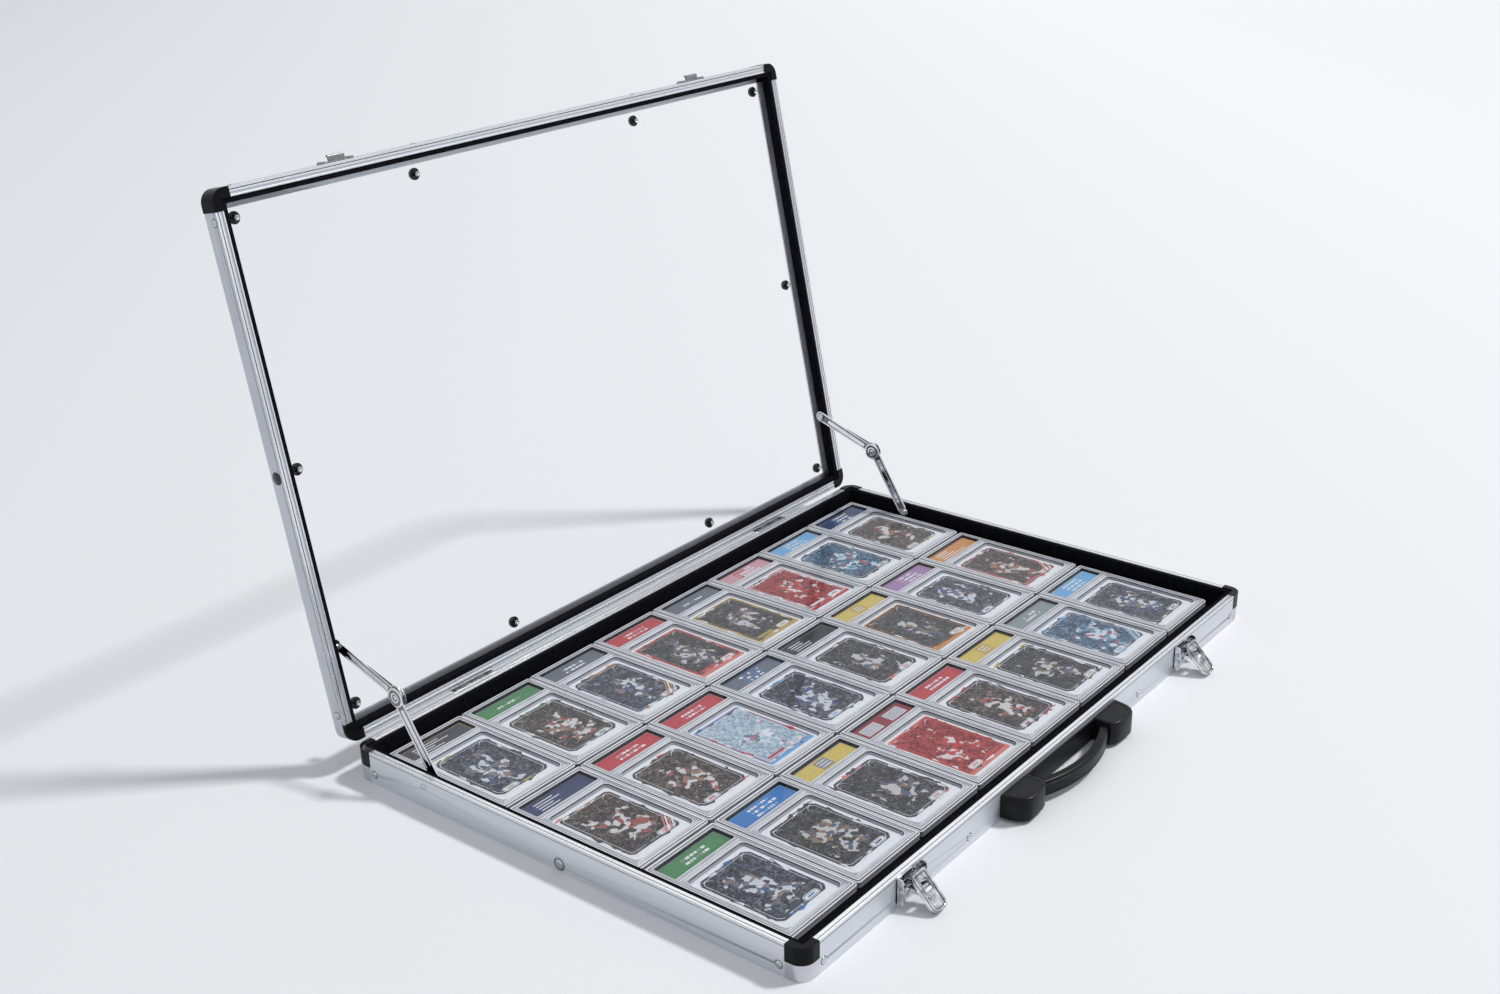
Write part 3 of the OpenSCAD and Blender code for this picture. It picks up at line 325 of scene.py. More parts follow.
# Printing inks of frames, labels and marks
inkTones = {
    "white": (0.80, 0.81, 0.83), "black": (0.018, 0.018, 0.022), "charcoal": (0.055, 0.058, 0.07),
    "navy": (0.035, 0.05, 0.13), "slate": (0.13, 0.15, 0.19), "blue": (0.05, 0.20, 0.52),
    "sky": (0.16, 0.42, 0.72), "palest": (0.50, 0.66, 0.74), "red": (0.50, 0.05, 0.06),
    "wine": (0.26, 0.03, 0.045), "coral": (0.68, 0.20, 0.16), "yellow": (0.66, 0.50, 0.12),
    "gold": (0.50, 0.36, 0.10), "green": (0.07, 0.24, 0.09), "sage": (0.24, 0.30, 0.29),
    "violet": (0.36, 0.20, 0.42), "orange": (0.62, 0.27, 0.07), "rose": (0.62, 0.34, 0.38),
    "grey": (0.26, 0.27, 0.29),
}
for ink, colour in inkTones.items():
    deeper = tuple(0.86 * part for part in colour)
    finishLooks["ink_" + ink] = dict(zip(lookParts, (deeper, colour, 320, 1500, (0.35, 0.5))))

clearLooks = {
    "windowClear": {
        "tint": (0.998, 1.0, 1.0), "roughness": (0.0, 0.02), "edgeMirror": 0.09, "smearScale": 18},
    "slabClear": {
        "tint": (0.94, 0.95, 0.97), "roughness": (0.02, 0.06), "edgeMirror": 0.16, "smearScale": 18},
}

# Ground, two middle tones, accent, light and second accent of each picture
picturePalettes = {
    "cool": ((0.012, 0.014, 0.02), (0.055, 0.06, 0.075), (0.17, 0.18, 0.22), (0.06, 0.11, 0.28),
             (0.70, 0.73, 0.78), (0.30, 0.22, 0.20)),
    "warm": ((0.015, 0.013, 0.014), (0.065, 0.052, 0.05), (0.19, 0.16, 0.15), (0.42, 0.10, 0.09),
             (0.74, 0.73, 0.73), (0.36, 0.20, 0.14)),
    "dusk": ((0.012, 0.012, 0.014), (0.05, 0.048, 0.05), (0.14, 0.13, 0.14), (0.30, 0.19, 0.12),
             (0.62, 0.60, 0.60), (0.10, 0.13, 0.22)),
    "ruby": ((0.10, 0.012, 0.016), (0.34, 0.035, 0.04), (0.50, 0.09, 0.08), (0.60, 0.05, 0.05),
             (0.78, 0.74, 0.73), (0.10, 0.07, 0.08)),
    "sea": ((0.02, 0.03, 0.05), (0.06, 0.11, 0.18), (0.14, 0.30, 0.44), (0.30, 0.54, 0.70),
            (0.74, 0.78, 0.82), (0.40, 0.12, 0.12)),
    "mist": ((0.20, 0.27, 0.34), (0.40, 0.52, 0.60), (0.60, 0.68, 0.73), (0.48, 0.07, 0.08),
             (0.82, 0.85, 0.88), (0.12, 0.14, 0.20)),
}
pictureLook = {
    "cloudScale": 62, "speckleScale": 240, "facetScale": 210, "bend": (0.010, 0.010, 0.010),
    "middle": (0.5, 0.47, 0), "wander": -1.3, "reach": 0.86, "strength": 0.8, "roughness": 0.35, "shine": 0.3,
}


def makePicture(name, colours):
    # Printed picture: a speckled dark ground behind a bright cut-glass burst
    finish, tree, shader = newFinish(name)
    place = addNode(tree, "TexCoord").outputs["Object"]
    cloud = noise(tree, place, pictureLook["cloudScale"], Detail=5, Distortion=0.5)
    speckle = noise(tree, place, pictureLook["speckleScale"], Detail=8, Roughness=0.68, Distortion=1.2)["Fac"]
    ground = colourRamp(tree, speckle, (
        (0.40, colours[0]), (0.52, colours[1]), (0.60, colours[2]), (0.70, colours[5])))
    bend = maths(tree, "MULTIPLY_ADD", cloud["Color"], pictureLook["bend"], place, kind="VectorMath")
    facets = addNode(tree, "TexVoronoi", {"Vector": bend, "Scale": pictureLook["facetScale"]})
    facet = addNode(tree, "SeparateColor", {0: facets.outputs["Color"]})
    burst = colourRamp(tree, facet.outputs["Red"], (
        (0.0, colours[4]), (0.22, colours[3]), (0.36, colours[2]), (0.52, colours[4]),
        (0.66, colours[1]), (0.84, colours[5])), True)
    # The burst is strongest in the middle of the picture
    chart = addNode(tree, "UVMap", uv_map="printMap")
    away = maths(
        tree, "DISTANCE", chart.outputs["UV"], pictureLook["middle"], kind="VectorMath", result="Value")
    wander = maths(tree, "MULTIPLY_ADD", cloud["Fac"], pictureLook["wander"], pictureLook["reach"])
    mask = addNode(tree, "MapRange", {
        "Value": maths(tree, "SUBTRACT", wander, away), "From Min": -0.01, "From Max": 0.03,
        "To Max": pictureLook["strength"]})
    printed = addNode(tree, "Mix", {
        "Factor": mask.outputs["Result"], 6: ground, 7: burst}, data_type="RGBA")
    feed(tree, shader, "Base Color", printed.outputs[2])
    feed(tree, shader, "Roughness", pictureLook["roughness"])
    feed(tree, shader, "Specular IOR Level", pictureLook["shine"])
    return finish


finishes = {name: makeFinish(name, look) for name, look in finishLooks.items()}
finishes.update({name: makeClear(name, look) for name, look in clearLooks.items()})
for name, tones in picturePalettes.items():
    finishes["picture_" + name] = makePicture("picture_" + name, tones)
print("finishes made:", len(finishes))

# Small tools for rings of points and the faces between them


def ring(bm, points, height, place):
    return [bm.verts.new(place @ Vector((x, y, height))) for x, y in points]


def skin(bm, rings, paint=0, around=True):
    # Faces between rings of the same length; paint is one finish or one for each band
    for band, (low, high) in enumerate(zip(rings, rings[1:])):
        count = len(low)
        for i in range(count if around else count - 1):
            j = (i + 1) % count
            face = bm.faces.new((low[i], low[j], high[j], high[i]))
            face.material_index = paint[band] if isinstance(paint, (list, tuple)) else paint


def loopEdges(bm, loop):
    edges = []
    for a, b in zip(loop, loop[1:] + loop[:1]):
        edges.append(bm.edges.get((a, b)) or bm.edges.new((a, b)))
    return edges


def fill(bm, loops, paint=0):
    # A flat face inside the first loop with the other loops cut out
    edges = [edge for loop in loops for edge in loopEdges(bm, loop)]
    made = bmesh.ops.triangle_fill(bm, edges=edges, use_beauty=True)
    faces = [part for part in made["geom"] if isinstance(part, bmesh.types.BMFace)]
    for face in faces:
        face.material_index = paint


def terraced(bm, outline, levels, place, paint=0, holes=(), endPaint=0):
    # A plate whose edge steps in and up; each hole goes straight through
    rings = [ring(bm, outline(inset), height, place) for inset, height in levels]
    skin(bm, rings, paint)
    lowHoles = [ring(bm, hole, levels[0][1], place) for hole in holes]
    highHoles = [ring(bm, hole, levels[-1][1], place) for hole in holes]
    for low, high in zip(lowHoles, highHoles):
        skin(bm, [low, high], endPaint)
    fill(bm, [rings[0]] + lowHoles, endPaint)
    fill(bm, [rings[-1]] + highHoles, endPaint)


def circleAt(x, y, radius, steps=24):
    return [(x + radius * math.cos(2 * math.pi * k / steps), y + radius * math.sin(2 * math.pi * k / steps))
            for k in range(steps)]


def cornerArc(x, y, radius, start, steps):
    # A quarter turn from the start angle
    turns = [math.radians(start + 90 * k / steps) for k in range(steps + 1)]
    return [(x + radius * math.cos(turn), y + radius * math.sin(turn)) for turn in turns]


def roundedBox(width, depth, radius, steps=4, at=(0, 0)):
    def outline(inset=0):
        r = max(radius - inset, 0.05)
        w, d = width / 2 - inset - r, depth / 2 - inset - r
        points = []
        for quarter, (sx, sy) in enumerate(((1, 1), (-1, 1), (-1, -1), (1, -1))):
            points += cornerArc(at[0] + sx * w, at[1] + sy * d, r, 90 * quarter, steps)
        return points
    return outline


def turnedRings(bm, profile, place, steps=28, paint=0):
    # A turned part round the z axis; profile is radius and height from end to end
    rings = [ring(bm, circleAt(0, 0, radius, steps), height, place) for radius, height in profile]
    skin(bm, rings, paint)
    ends = paint if isinstance(paint, (list, tuple)) else [paint]
    bm.faces.new(rings[0][::-1]).material_index = ends[0]
    bm.faces.new(rings[-1]).material_index = ends[-1]


def sideways(end):
    # Turns a turned part's axis to the left or right
    return rotation(90 * end, "Y")


def finishPiece(name, bm, looks, body, nodes=(), sharp=35, closed=True):
    bm.transform(toMetres)
    if closed:
        bmesh.ops.recalc_face_normals(bm, faces=bm.faces)
    mesh = bpy.data.meshes.new(name)
    bm.to_mesh(mesh)
    bm.free()
    for look in looks:
        mesh.materials.append(finishes[look])
    mesh.shade_smooth()
    mesh.set_sharp_from_angle(angle=math.radians(sharp))
    piece = bpy.data.objects.new(name, mesh)
    bpy.context.collection.objects.link(piece)
    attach(piece, body)
    if nodes:
        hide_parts(*nodes)


# Small radius on the edges of the kept solids
softEdge = {"weld": 0.000004, "radius": 0.0002, "segments": 2, "angle": 35}


def dress(node, look, softened):
    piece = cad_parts[node]
    for holder in piece.material_slots:
        holder.link = "OBJECT"
        holder.material = finishes[look]
    if not softened:
        return
    weld = piece.modifiers.new("joined", "WELD")
    weld.merge_threshold = softEdge["weld"]
    bevel = piece.modifiers.new("edges", "BEVEL")
    bevel.width = softEdge["radius"]
    bevel.segments = softEdge["segments"]
    bevel.limit_method = "ANGLE"
    bevel.angle_limit = math.radians(softEdge["angle"])
    bevel.harden_normals = False
    flat = piece.modifiers.new("flatFaces", "WEIGHTED_NORMAL")
    flat.weight = 100
    flat.keep_sharp = False


# Rails, linings, corners and hinges keep their solids
keptLooks = {
    "base_front_rail": "trayRailAlongPaintedLight", "base_back_rail": "trayRailAlongPaintedLight",
    "base_left_rail": "trayRailAcrossPaintedLight", "base_right_rail": "trayRailAcrossPaintedLight",
    "lid_front_rail": "railAlong", "lid_back_rail": "railAlong",
    "lid_left_rail": "railAcross", "lid_right_rail": "railAcross",
    "base_corner_brackets": "cornerMetal", "lid_corner_brackets": "cornerMetal",
    "base_corner_caps": "capBlack", "lid_corner_caps": "capBlack",
    "base_bottom_panel": "panelBlack", "base_wall_lining": "feltBlack", "lid_wall_lining": "feltBlack",
    "base_floor_pad": "foamBlack", "hinge_base_leaves": "hingeSteel", "hinge_lid_leaves": "hingeSteel",
    "hinge_pins": "rivetSteel",
    "latch_left_link": "chromePaintedReflection", "latch_right_link": "chromePaintedReflection",
    "handle_backplate": "handleBlack", "lid_window": "windowClear",
}
for node, look in keptLooks.items():
    dress(node, look, node not in ("lid_window", "base_floor_pad"))
print("kept solids dressed:", len(keptLooks))

# Rim seams and painted light: a dark strip in the rim's groove as painted shade, a dark line under the lip,
# and bright strips on the lips as painted highlight
seam = {
    "grooveFrom": 2.25, "grooveTo": 2.85, "below": 0.12, "deep": 0.5, "lipLine": 2.4, "lineHigh": 0.45,
    "lineFrom": -0.1, "lineTo": 0.05, "corner": 0.1, "lipThick": 0.1, "lipCorner": 0.03, "endGap": 0.4,
    "trayLips": ((0.35, 2.1), (3.1, 5.6)), "lidLips": ((0.35, 2.1), (3.1, 4.4), (6.8, 7.7)),
}


def buildSeamsAndPaintedLight():
    for name, body, place, rim, down, lips in (
            ("tray_rim_seams_and_painted_light", "tray", asBuilt, case["trayHeight"], -1, seam["trayLips"]),
            ("lid_rim_seams_and_painted_light", "lid", inLid, 0.0, 1, seam["lidLips"])):
        bm = bmesh.new()
        for face in ("front", "back", "left", "right"):
            half = case["halfWidth"] if face in ("front", "back") else case["halfDepth"]
            length = 2 * (half - case["cornerLeg"]) - seam["endGap"]
            grooveShadePlace = place @ onFace(face, 0, rim + down * (seam["below"] + seam["deep"] / 2))
            # Painted shade: a dark strip down in the rim's groove
            grooveShade = roundedBox(length, seam["deep"], seam["corner"], 2)
            terraced(bm, grooveShade, [(0, -seam["grooveTo"]), (0, -seam["grooveFrom"])], grooveShadePlace)
            linePlace = place @ onFace(face, 0, rim + down * seam["lipLine"])
            line = roundedBox(length, seam["lineHigh"], seam["corner"], 2)
            terraced(bm, line, [(0, seam["lineFrom"]), (0, seam["lineTo"])], linePlace)
            # Painted highlight: bright strips along the rim's top
            for start, end in lips:
                lip = roundedBox(length, seam["lipThick"], seam["lipCorner"], 2)
                terraced(bm, lip, [(0, -end), (0, -start)], place @ onFace(face, 0, rim), 1, endPaint=1)
        finishPiece(name, bm, ["seamAndGrooveShade", "lipPaintedHighlight"], body)


buildSeamsAndPaintedLight()
print("rim seams laid")

# Rivets and the stays' pivot pins
rivets = {
    "trayZ": 9.0, "inset": 22.0, "middleX": 140.0, "lidDepth": 7.2, "lidInset": 25.0, "lidFrontDepth": 4.2,
    "bigTrayZ": 6.5, "stayY": 148.0, "stayTrayZ": 19.5, "stayLidDepth": 4.4, "trayPin": (14.5, 10.2),
    "lidPin": (16.3, 12.2), "hingeX": 213.0, "hingeRivetX": 14.1, "hingeTrayZ": 14.4, "hingeLidDepth": 8.8,
    "leaf": 1.2,
}
smallRivet = [
    (1.6, -3.4), (1.6, 0.0), (3.5, 0.0), (3.5, 0.08), (3.0, 0.1), (3.0, 0.18), (2.8, 0.48), (2.3, 0.72),
    (1.5, 0.86), (0.3, 0.9),
]
bigRivet = [
    (1.6, -3.4), (1.6, 0.0), (5.5, 0.0), (5.5, 0.08), (5.0, 0.1), (5.0, 0.15), (4.7, 0.3), (4.2, 0.3),
    (4.0, 0.34), (3.4, 0.62), (2.4, 0.82), (1.2, 0.9), (0.3, 0.9),
]
smallPaint = [0, 1, 1, 1, 1, 0, 0, 0, 0]  # painted shade: a dark ring at the foot, under a bright head
# The big tray rivet: the same painted shade ring at its foot, and a dark ring on its head
bigPaint = [0, 1, 1, 1, 1, 0, 1, 1, 0, 0, 0, 0]


def pinProfile(inner, liningIn):
    # A pivot pin: head inside the arm, collar between lining and arm, and a small outer head
    head = inner + 0.3
    collar = inner - 1.8
    return [
        (0.4, -head - 0.75), (1.6, -head - 0.75), (2.0, -head - 1.2), (3.2, -head - 1.2), (3.9, -head - 0.9),
        (4.1, -head - 0.5), (4.1, -head), (2.0, -head), (2.0, -collar), (3.2, -collar), (3.2, -liningIn),
        (2.0, -liningIn), (2.0, 0.0), (3.0, 0.0), (3.0, 0.2), (2.6, 0.6), (1.6, 0.86), (0.3, 0.9),
    ]


def buildRivets():
    tray, lid = bmesh.new(), bmesh.new()
    trayZ, lidDepth, middleX = rivets["trayZ"], rivets["lidDepth"], rivets["middleX"]
    endX, endY = case["halfWidth"] - rivets["inset"], case["halfDepth"] - rivets["inset"]
    lidX, lidY = case["halfWidth"] - rivets["lidInset"], case["halfDepth"] - rivets["lidInset"]
    raised = shift(0, 0, rivets["leaf"])

    def small(bm, place):
        turnedRings(bm, smallRivet, place, paint=smallPaint)

    for face in ("front", "back"):
        for side in (-1, 1):
            small(tray, onFace(face, side * endX, trayZ))
            small(lid, inLid @ onFace(face, side * lidX, lidDepth))
    for side in (-1, 1):
        small(tray, onFace("front", side * middleX, trayZ))
        small(lid, inLid @ onFace("front", side * middleX, lidDepth))
        for step in (-1, 1):
            along = side * rivets["hingeX"] + step * rivets["hingeRivetX"]
            small(tray, onFace("back", along, rivets["hingeTrayZ"]) @ raised)
            small(lid, inLid @ onFace("back", along, rivets["hingeLidDepth"]) @ raised)
    for face in ("left", "right"):
        for end in (-1, 1):
            small(tray, onFace(face, end * endY, trayZ))
        small(lid, inLid @ onFace(face, lidY, lidDepth))
        small(lid, inLid @ onFace(face, -lidY, rivets["lidFrontDepth"]))
        turnedRings(tray, bigRivet, onFace(face, 0, rivets["bigTrayZ"]), paint=bigPaint)
        turnedRings(lid, bigRivet, inLid @ onFace(face, 0, lidDepth), paint=1)
        trayPlace = onFace(face, rivets["stayY"], rivets["stayTrayZ"])
        lidPlace = inLid @ onFace(face, rivets["stayY"], rivets["stayLidDepth"])
        turnedRings(tray, pinProfile(*rivets["trayPin"]), trayPlace)
        turnedRings(lid, pinProfile(*rivets["lidPin"]), lidPlace)
    for body, bm, node in (("tray", tray, "base_rivets"), ("lid", lid, "lid_rivets")):
        finishPiece(body + "_rivet_heads", bm, ["rivetSteel", "rivetBlackAndShade"], body, [node])


# Round feet, seen through the window, each with a small bright screw head on its inner side
feet = {
    "inset": 25.0, "middleX": 140.0, "windowDepth": 10.0,
    "profile": [(0.3, -0.02), (1.6, -0.02), (1.6, 3.0), (4.9, 3.0), (5.2, 3.3), (5.2, 4.6), (5.0, 5.6),
                (4.6, 6.5), (3.8, 7.1), (2.6, 7.38), (1.0, 7.4)],
    "screw": [(0.4, 0.0), (0.9, -0.5), (1.5, -0.75), (2.1, -0.7), (2.3, -0.4), (2.3, -0.02), (1.5, -0.02)],
}


def buildFeet():
    bm = bmesh.new()
    x, y = case["halfWidth"] - feet["inset"], case["halfDepth"] - feet["inset"]
    spots = [(sx * px, sy * y) for sx in (-1, 1) for sy in (-1, 1) for px in (x, feet["middleX"])]
    spots += [(-x, 0), (x, 0)]
    for px, py in spots:
        place = inLid @ shift(px, py, feet["windowDepth"])
        turnedRings(bm, feet["profile"], place)
        turnedRings(bm, feet["screw"], place, 20, 1)
    finishPiece("round_feet", bm, ["footRubber", "rivetSteel"], "lid", ["window_feet"])


buildRivets()
buildFeet()
print("rivets and feet built")

# Folding stays
stay = {
    "arm": 73.0, "halfWidth": 5.2, "thick": 1.5, "ring": 5.5, "pivotHole": 2.1, "discX": 334.4,
    "lower": {"x": 337.25, "pivot": (148.0, 19.5), "heading": 57.3355, "end": (73.0, 0), "endRing": 5.5,
              "endHole": 1.4},
    "upper": {"x": 335.45, "pivot": (255.958, 106.014), "heading": 200.0741, "end": (70.79, -2.61),
              "endRing": 6.72, "endHole": 5.22},
    "ribShort": 22, "ribWidth": 4.4, "ribCorner": 1.6,
    "ribRise": ((0, 0.22), (0.1, 0.5), (0.35, 0.66), (0.6, 0.68)),
    "eye": ((2.15, 0.24), (2.25, 0.6), (2.5, 0.72), (3.3, 0.72), (3.7, 0.5), (3.8, 0.24)),
}
# The elbow disc's face and its back, each with the bands that are painted shade in its grooves
discFace = [
    (1.5, 2.4), (1.5, 0.0), (8.8, 0.0), (8.8, -0.35), (8.45, -0.8), (7.6, -0.95), (7.0, -0.95), (6.6, -0.55),
    (5.2, -0.5), (4.9, -0.95), (4.3, -1.15), (3.3, -1.2), (2.9, -0.75), (2.2, -0.7), (1.9, -1.1),
    (1.0, -1.2), (0.3, -1.2),
]
discBack = [
    (1.5, 0.6), (8.6, 0.65), (8.6, 0.85), (8.2, 1.15), (7.0, 1.2), (6.6, 0.85), (4.9, 0.8), (4.5, 1.15),
    (3.2, 1.2), (2.7, 0.9), (1.9, 0.9), (1.5, 1.15), (0.3, 1.2),
]
discFacePaint = [0, 0, 0, 0, 0, 0, 1, 1, 1, 0, 0, 1, 1, 0, 0, 0]
discBackPaint = [0, 0, 0, 0, 1, 1, 1, 0, 1, 1, 0, 0]


def armFrame(side, arm):
    turn = math.radians(arm["heading"])
    c, s = math.cos(turn), math.sin(turn)
    along, up = arm["pivot"]
    place = Matrix(((0, 0, 1, arm["x"]), (c, -s, 0, along), (s, c, 0, up), (0, 0, 0, 1)))
    return Matrix.Diagonal((side, 1, 1, 1)) @ place


def armOutline(arm):
    endX, endY = arm["end"]

    def outline(inset=0):
        h = stay["halfWidth"] - inset
        r, rEnd = stay["ring"] - inset, arm["endRing"] - inset
        start = math.asin(min(0.98, h / r))
        top = math.asin(min(0.98, (h - endY) / rEnd))
        bottom = math.asin(min(0.98, (h + endY) / rEnd))
        points = []
        for k in range(15):
            turn = start + (2 * math.pi - 2 * start) * k / 14
            points.append((r * math.cos(turn), r * math.sin(turn)))
        for k in range(15):
            turn = -(math.pi - bottom) + (2 * math.pi - top - bottom) * k / 14
            points.append((endX + rEnd * math.cos(turn), endY + rEnd * math.sin(turn)))
        return points
    return outline


def buildArm(side, word, part):
    arm = stay[part]
    bm = bmesh.new()
    place = armFrame(side, arm)
    half = stay["thick"] / 2
    # A pressed channel: raised edges on both faces with a sunk floor between them, the floor and its edge
    # painted dark as painted shade
    levels = [
        (1.75, -0.25), (1.45, -0.3), (1.15, -half + 0.08), (0.95, -half), (0.3, -half), (0, -half + 0.3),
        (0, half - 0.3), (0.3, half), (0.95, half), (1.15, half - 0.08), (1.45, 0.3), (1.75, 0.25)]
    paint = [1, 0, 0, 0, 0, 0, 0, 0, 0, 0, 1]
    holes = [circleAt(0, 0, stay["pivotHole"]), circleAt(*arm["end"], arm["endHole"])]
    terraced(bm, armOutline(arm), levels, place, paint, holes, 1)
    for face in (-1, 1):
        rib = roundedBox(
            stay["arm"] - stay["ribShort"], stay["ribWidth"], stay["ribCorner"], at=(stay["arm"] / 2, 0))
        rings = [ring(bm, rib(inset), face * height, place) for inset, height in stay["ribRise"]]
        skin(bm, rings)
        fill(bm, [rings[-1]])
        # Raised eye round the pivot
        skin(bm, [ring(bm, circleAt(0, 0, radius), face * height, place) for radius, height in stay["eye"]])
    if part == "lower":
        elbow = place @ shift(stay["arm"], 0, 0)
        hub = shift(0, 0, stay["discX"] - arm["x"])
        turnedRings(bm, discFace, elbow @ hub, 40, discFacePaint)
        turnedRings(bm, discBack, elbow, 40, discBackPaint)
    name = f"stay_{word}_{part}"
    finishPiece(name, bm, ["stayChrome", "stayRecessPaintedShade"], name, [name + "_arm"])


for side, word in ((-1, "left"), (1, "right")):
    for part in ("lower", "upper"):
        buildArm(side, word, part)
print("stays built")

# Latches
latch = {
    "x": 224.0, "width": 32.0, "sheet": 1.2, "low": 3.5, "top": 26.5, "cheek": 6.2, "pinY": -232.6,
    "pinZ": 17.0, "slotDown": 3.6, "leverAt": (-242.675, 16.295), "leverTurn": -44.0, "leverWidth": 17.0,
    "leverTop": 12.0, "leverTail": 20.5, "tipRadius": 5.5, "topRadius": 1.4, "slot": (15, 2.8, 1.3),
    "slotShade": (16, 3.8, 1.6), "hole": (0, 9, 1.5), "plateCorner": 1.2, "cheekIn": 2, "cheekCorner": 2.6,
    "window": (8.4, 9.6, 1.6), "windowUp": 0.6, "hook": (7.4, 1.2), "hookAt": (0.3, -1.2),
}
leverShell = [
    (1.15, -0.8), (0.2, -0.8), (0, -0.6), (0, 2.7), (0.25, 3.2), (0.8, 3.55), (1.6, 3.6), (2.1, 3.35),
    (2.3, 2.9), (2.9, 2.85),
]
windowRim = ((-0.9, 2.85), (-0.7, 3.2), (-0.2, 3.3), (0, 2.9), (0, 2.3))
leverRibs = ((-15.2, -13.9, 9.0, 3.25), (-8.2, -6.6, 10.5, 3.4))
leverPin = [(1.0, -1.3), (2.3, -0.2), (2.3, 0.25), (1.9, 0.55), (0.4, 0.6)]
platePin = [(1.1, -14.8), (1.1, 0), (1.1, 1.2), (2.1, 1.2), (2.1, 1.5), (1.7, 1.75), (0.3, 1.8)]


def leverOutline(inset=0):
    w, low, high = latch["leverWidth"] / 2 - inset, -latch["leverTail"] + inset, latch["leverTop"] - inset
    tip, shoulder = latch["tipRadius"] - inset, max(latch["topRadius"] - inset, 0.1)
    points = cornerArc(-w + tip, low + tip, tip, -180, 8) + cornerArc(w - tip, low + tip, tip, -90, 8)
    points += cornerArc(w - shoulder, high - shoulder, shoulder, 0, 4)
    return points + cornerArc(-w + shoulder, high - shoulder, shoulder, 90, 4)


def buildPlate(x, word):
    # The plate on the tray, with a slot near its top and two cheeks for the pin; a dark patch behind the slot
    # is painted shade
    bm = bmesh.new()
    face = onFace("front", x, 0)
    sheet, tall = latch["sheet"], latch["top"] - latch["low"]
    middle, slotZ = (latch["low"] + latch["top"]) / 2, latch["top"] - latch["slotDown"]
    slot = roundedBox(*latch["slot"], at=(0, slotZ))()
    levels = [(0, 0), (0, sheet - 0.3), (0.3, sheet)]
    plate = roundedBox(latch["width"], tall, latch["plateCorner"], at=(0, middle))
    terraced(bm, plate, levels, face, 0, [slot, circleAt(*latch["hole"], 20)])
    # Painted shade: a dark patch on the face behind the slot
    slotShade = roundedBox(*latch["slotShade"], at=(0, slotZ))()
    fill(bm, [ring(bm, slotShade, 0.06, face)], 1)
    for end in (-1, 1):
        inner = x + end * (latch["width"] / 2 - sheet)
        cheek = shift(inner, -case["halfDepth"], 0) @ Matrix(
            ((0, 0, end, 0), (-1, 0, 0, 0), (0, 1, 0, 0), (0, 0, 0, 1)))
        reach, inside = latch["cheek"], latch["cheekIn"]
        shape = roundedBox(reach + inside, tall, latch["cheekCorner"], at=(reach / 2 - inside / 2, middle))
        terraced(bm, shape, [(0.25, 0), (0, 0.25), (0, sheet - 0.35), (0.35, sheet)], cheek)
        pin = shift(inner, latch["pinY"], latch["pinZ"]) @ sideways(end)
        turnedRings(bm, platePin, pin, 20)
    finishPiece(f"latch_{word}_plate", bm, ["chromePaintedReflection", "rivetBlackAndShade"], "tray",
                ["latch_base_plates"])


def buildLever(x, word):
    # A dished shell with a raised rim, a window over the link and a hook at its top; dark bands on the rim
    # are painted shade
    bm = bmesh.new()
    lean = rotation(latch["leverTurn"], "X")
    turn = shift(x, *latch["leverAt"]) @ lean
    upright = turn @ rotation(90, "X")
    rings = [ring(bm, leverOutline(inset), height, upright) for inset, height in leverShell]
    # Bands 3, 7 and 8 take the second finish: painted shade lines on the rim
    skin(bm, rings, [0, 0, 0, 1, 0, 0, 0, 1, 1])
    window = roundedBox(*latch["window"], at=(0, latch["windowUp"]))
    lip = [ring(bm, window(inset), height, upright) for inset, height in windowRim]
    skin(bm, lip)
    fill(bm, [rings[-1], lip[0]])
    inside = [ring(bm, leverOutline(inset), height, upright) for inset, height in ((1.2, -0.8), (1.3, 2.3))]
    skin(bm, [rings[0], inside[0], inside[1]])
    fill(bm, [inside[1], lip[-1]])
    # Stamped ribs across the panel, and the hook
    for low, high, width, rise in leverRibs:
        bar = roundedBox(width, high - low, 0.6, at=(0, (low + high) / 2))
        terraced(bm, bar, [(0, 2.7), (0.15, rise - 0.15), (0.4, rise)], upright)
    hook = roundedBox(latch["leverWidth"] - 1, *latch["hook"])
    hookOut, hookUp = latch["hookAt"]
    hookPlace = turn @ shift(0, hookOut, latch["leverTop"] + hookUp)
    terraced(bm, hook, [(0.2, 0), (0, 0.2), (0, 1.0), (0.3, 1.2)], hookPlace)
    for end in (-1, 1):
        pin = turn @ shift(end * latch["leverWidth"] / 2, 0, 0) @ sideways(end)
        turnedRings(bm, leverPin, pin, 20)
    finishPiece(f"latch_{word}_lever_shell", bm, ["chromePaintedReflection", "slabShade"], f"latch_{word}_lever_body",
                [f"latch_{word}_lever"])


# The catches on the lid, each with the curl of its lip
catch = {
    "high": 10.6, "corner": 1.4, "up": 6.5, "slot": (19, 3.4, 1.2), "slotUp": 9.2, "rim": (2.6, 9.4, 1.0),
    "rimIn": 1.6,
    "lip": ((0.9, 4.4), (4.6, 4.4), (5.6, 4.6), (6.2, 5.1), (6.4, 5.8), (6.3, 6.5), (5.8, 7.0), (5.3, 6.9),
            (5.2, 6.3), (5.0, 5.8), (4.4, 5.5), (0.9, 5.5)),
}


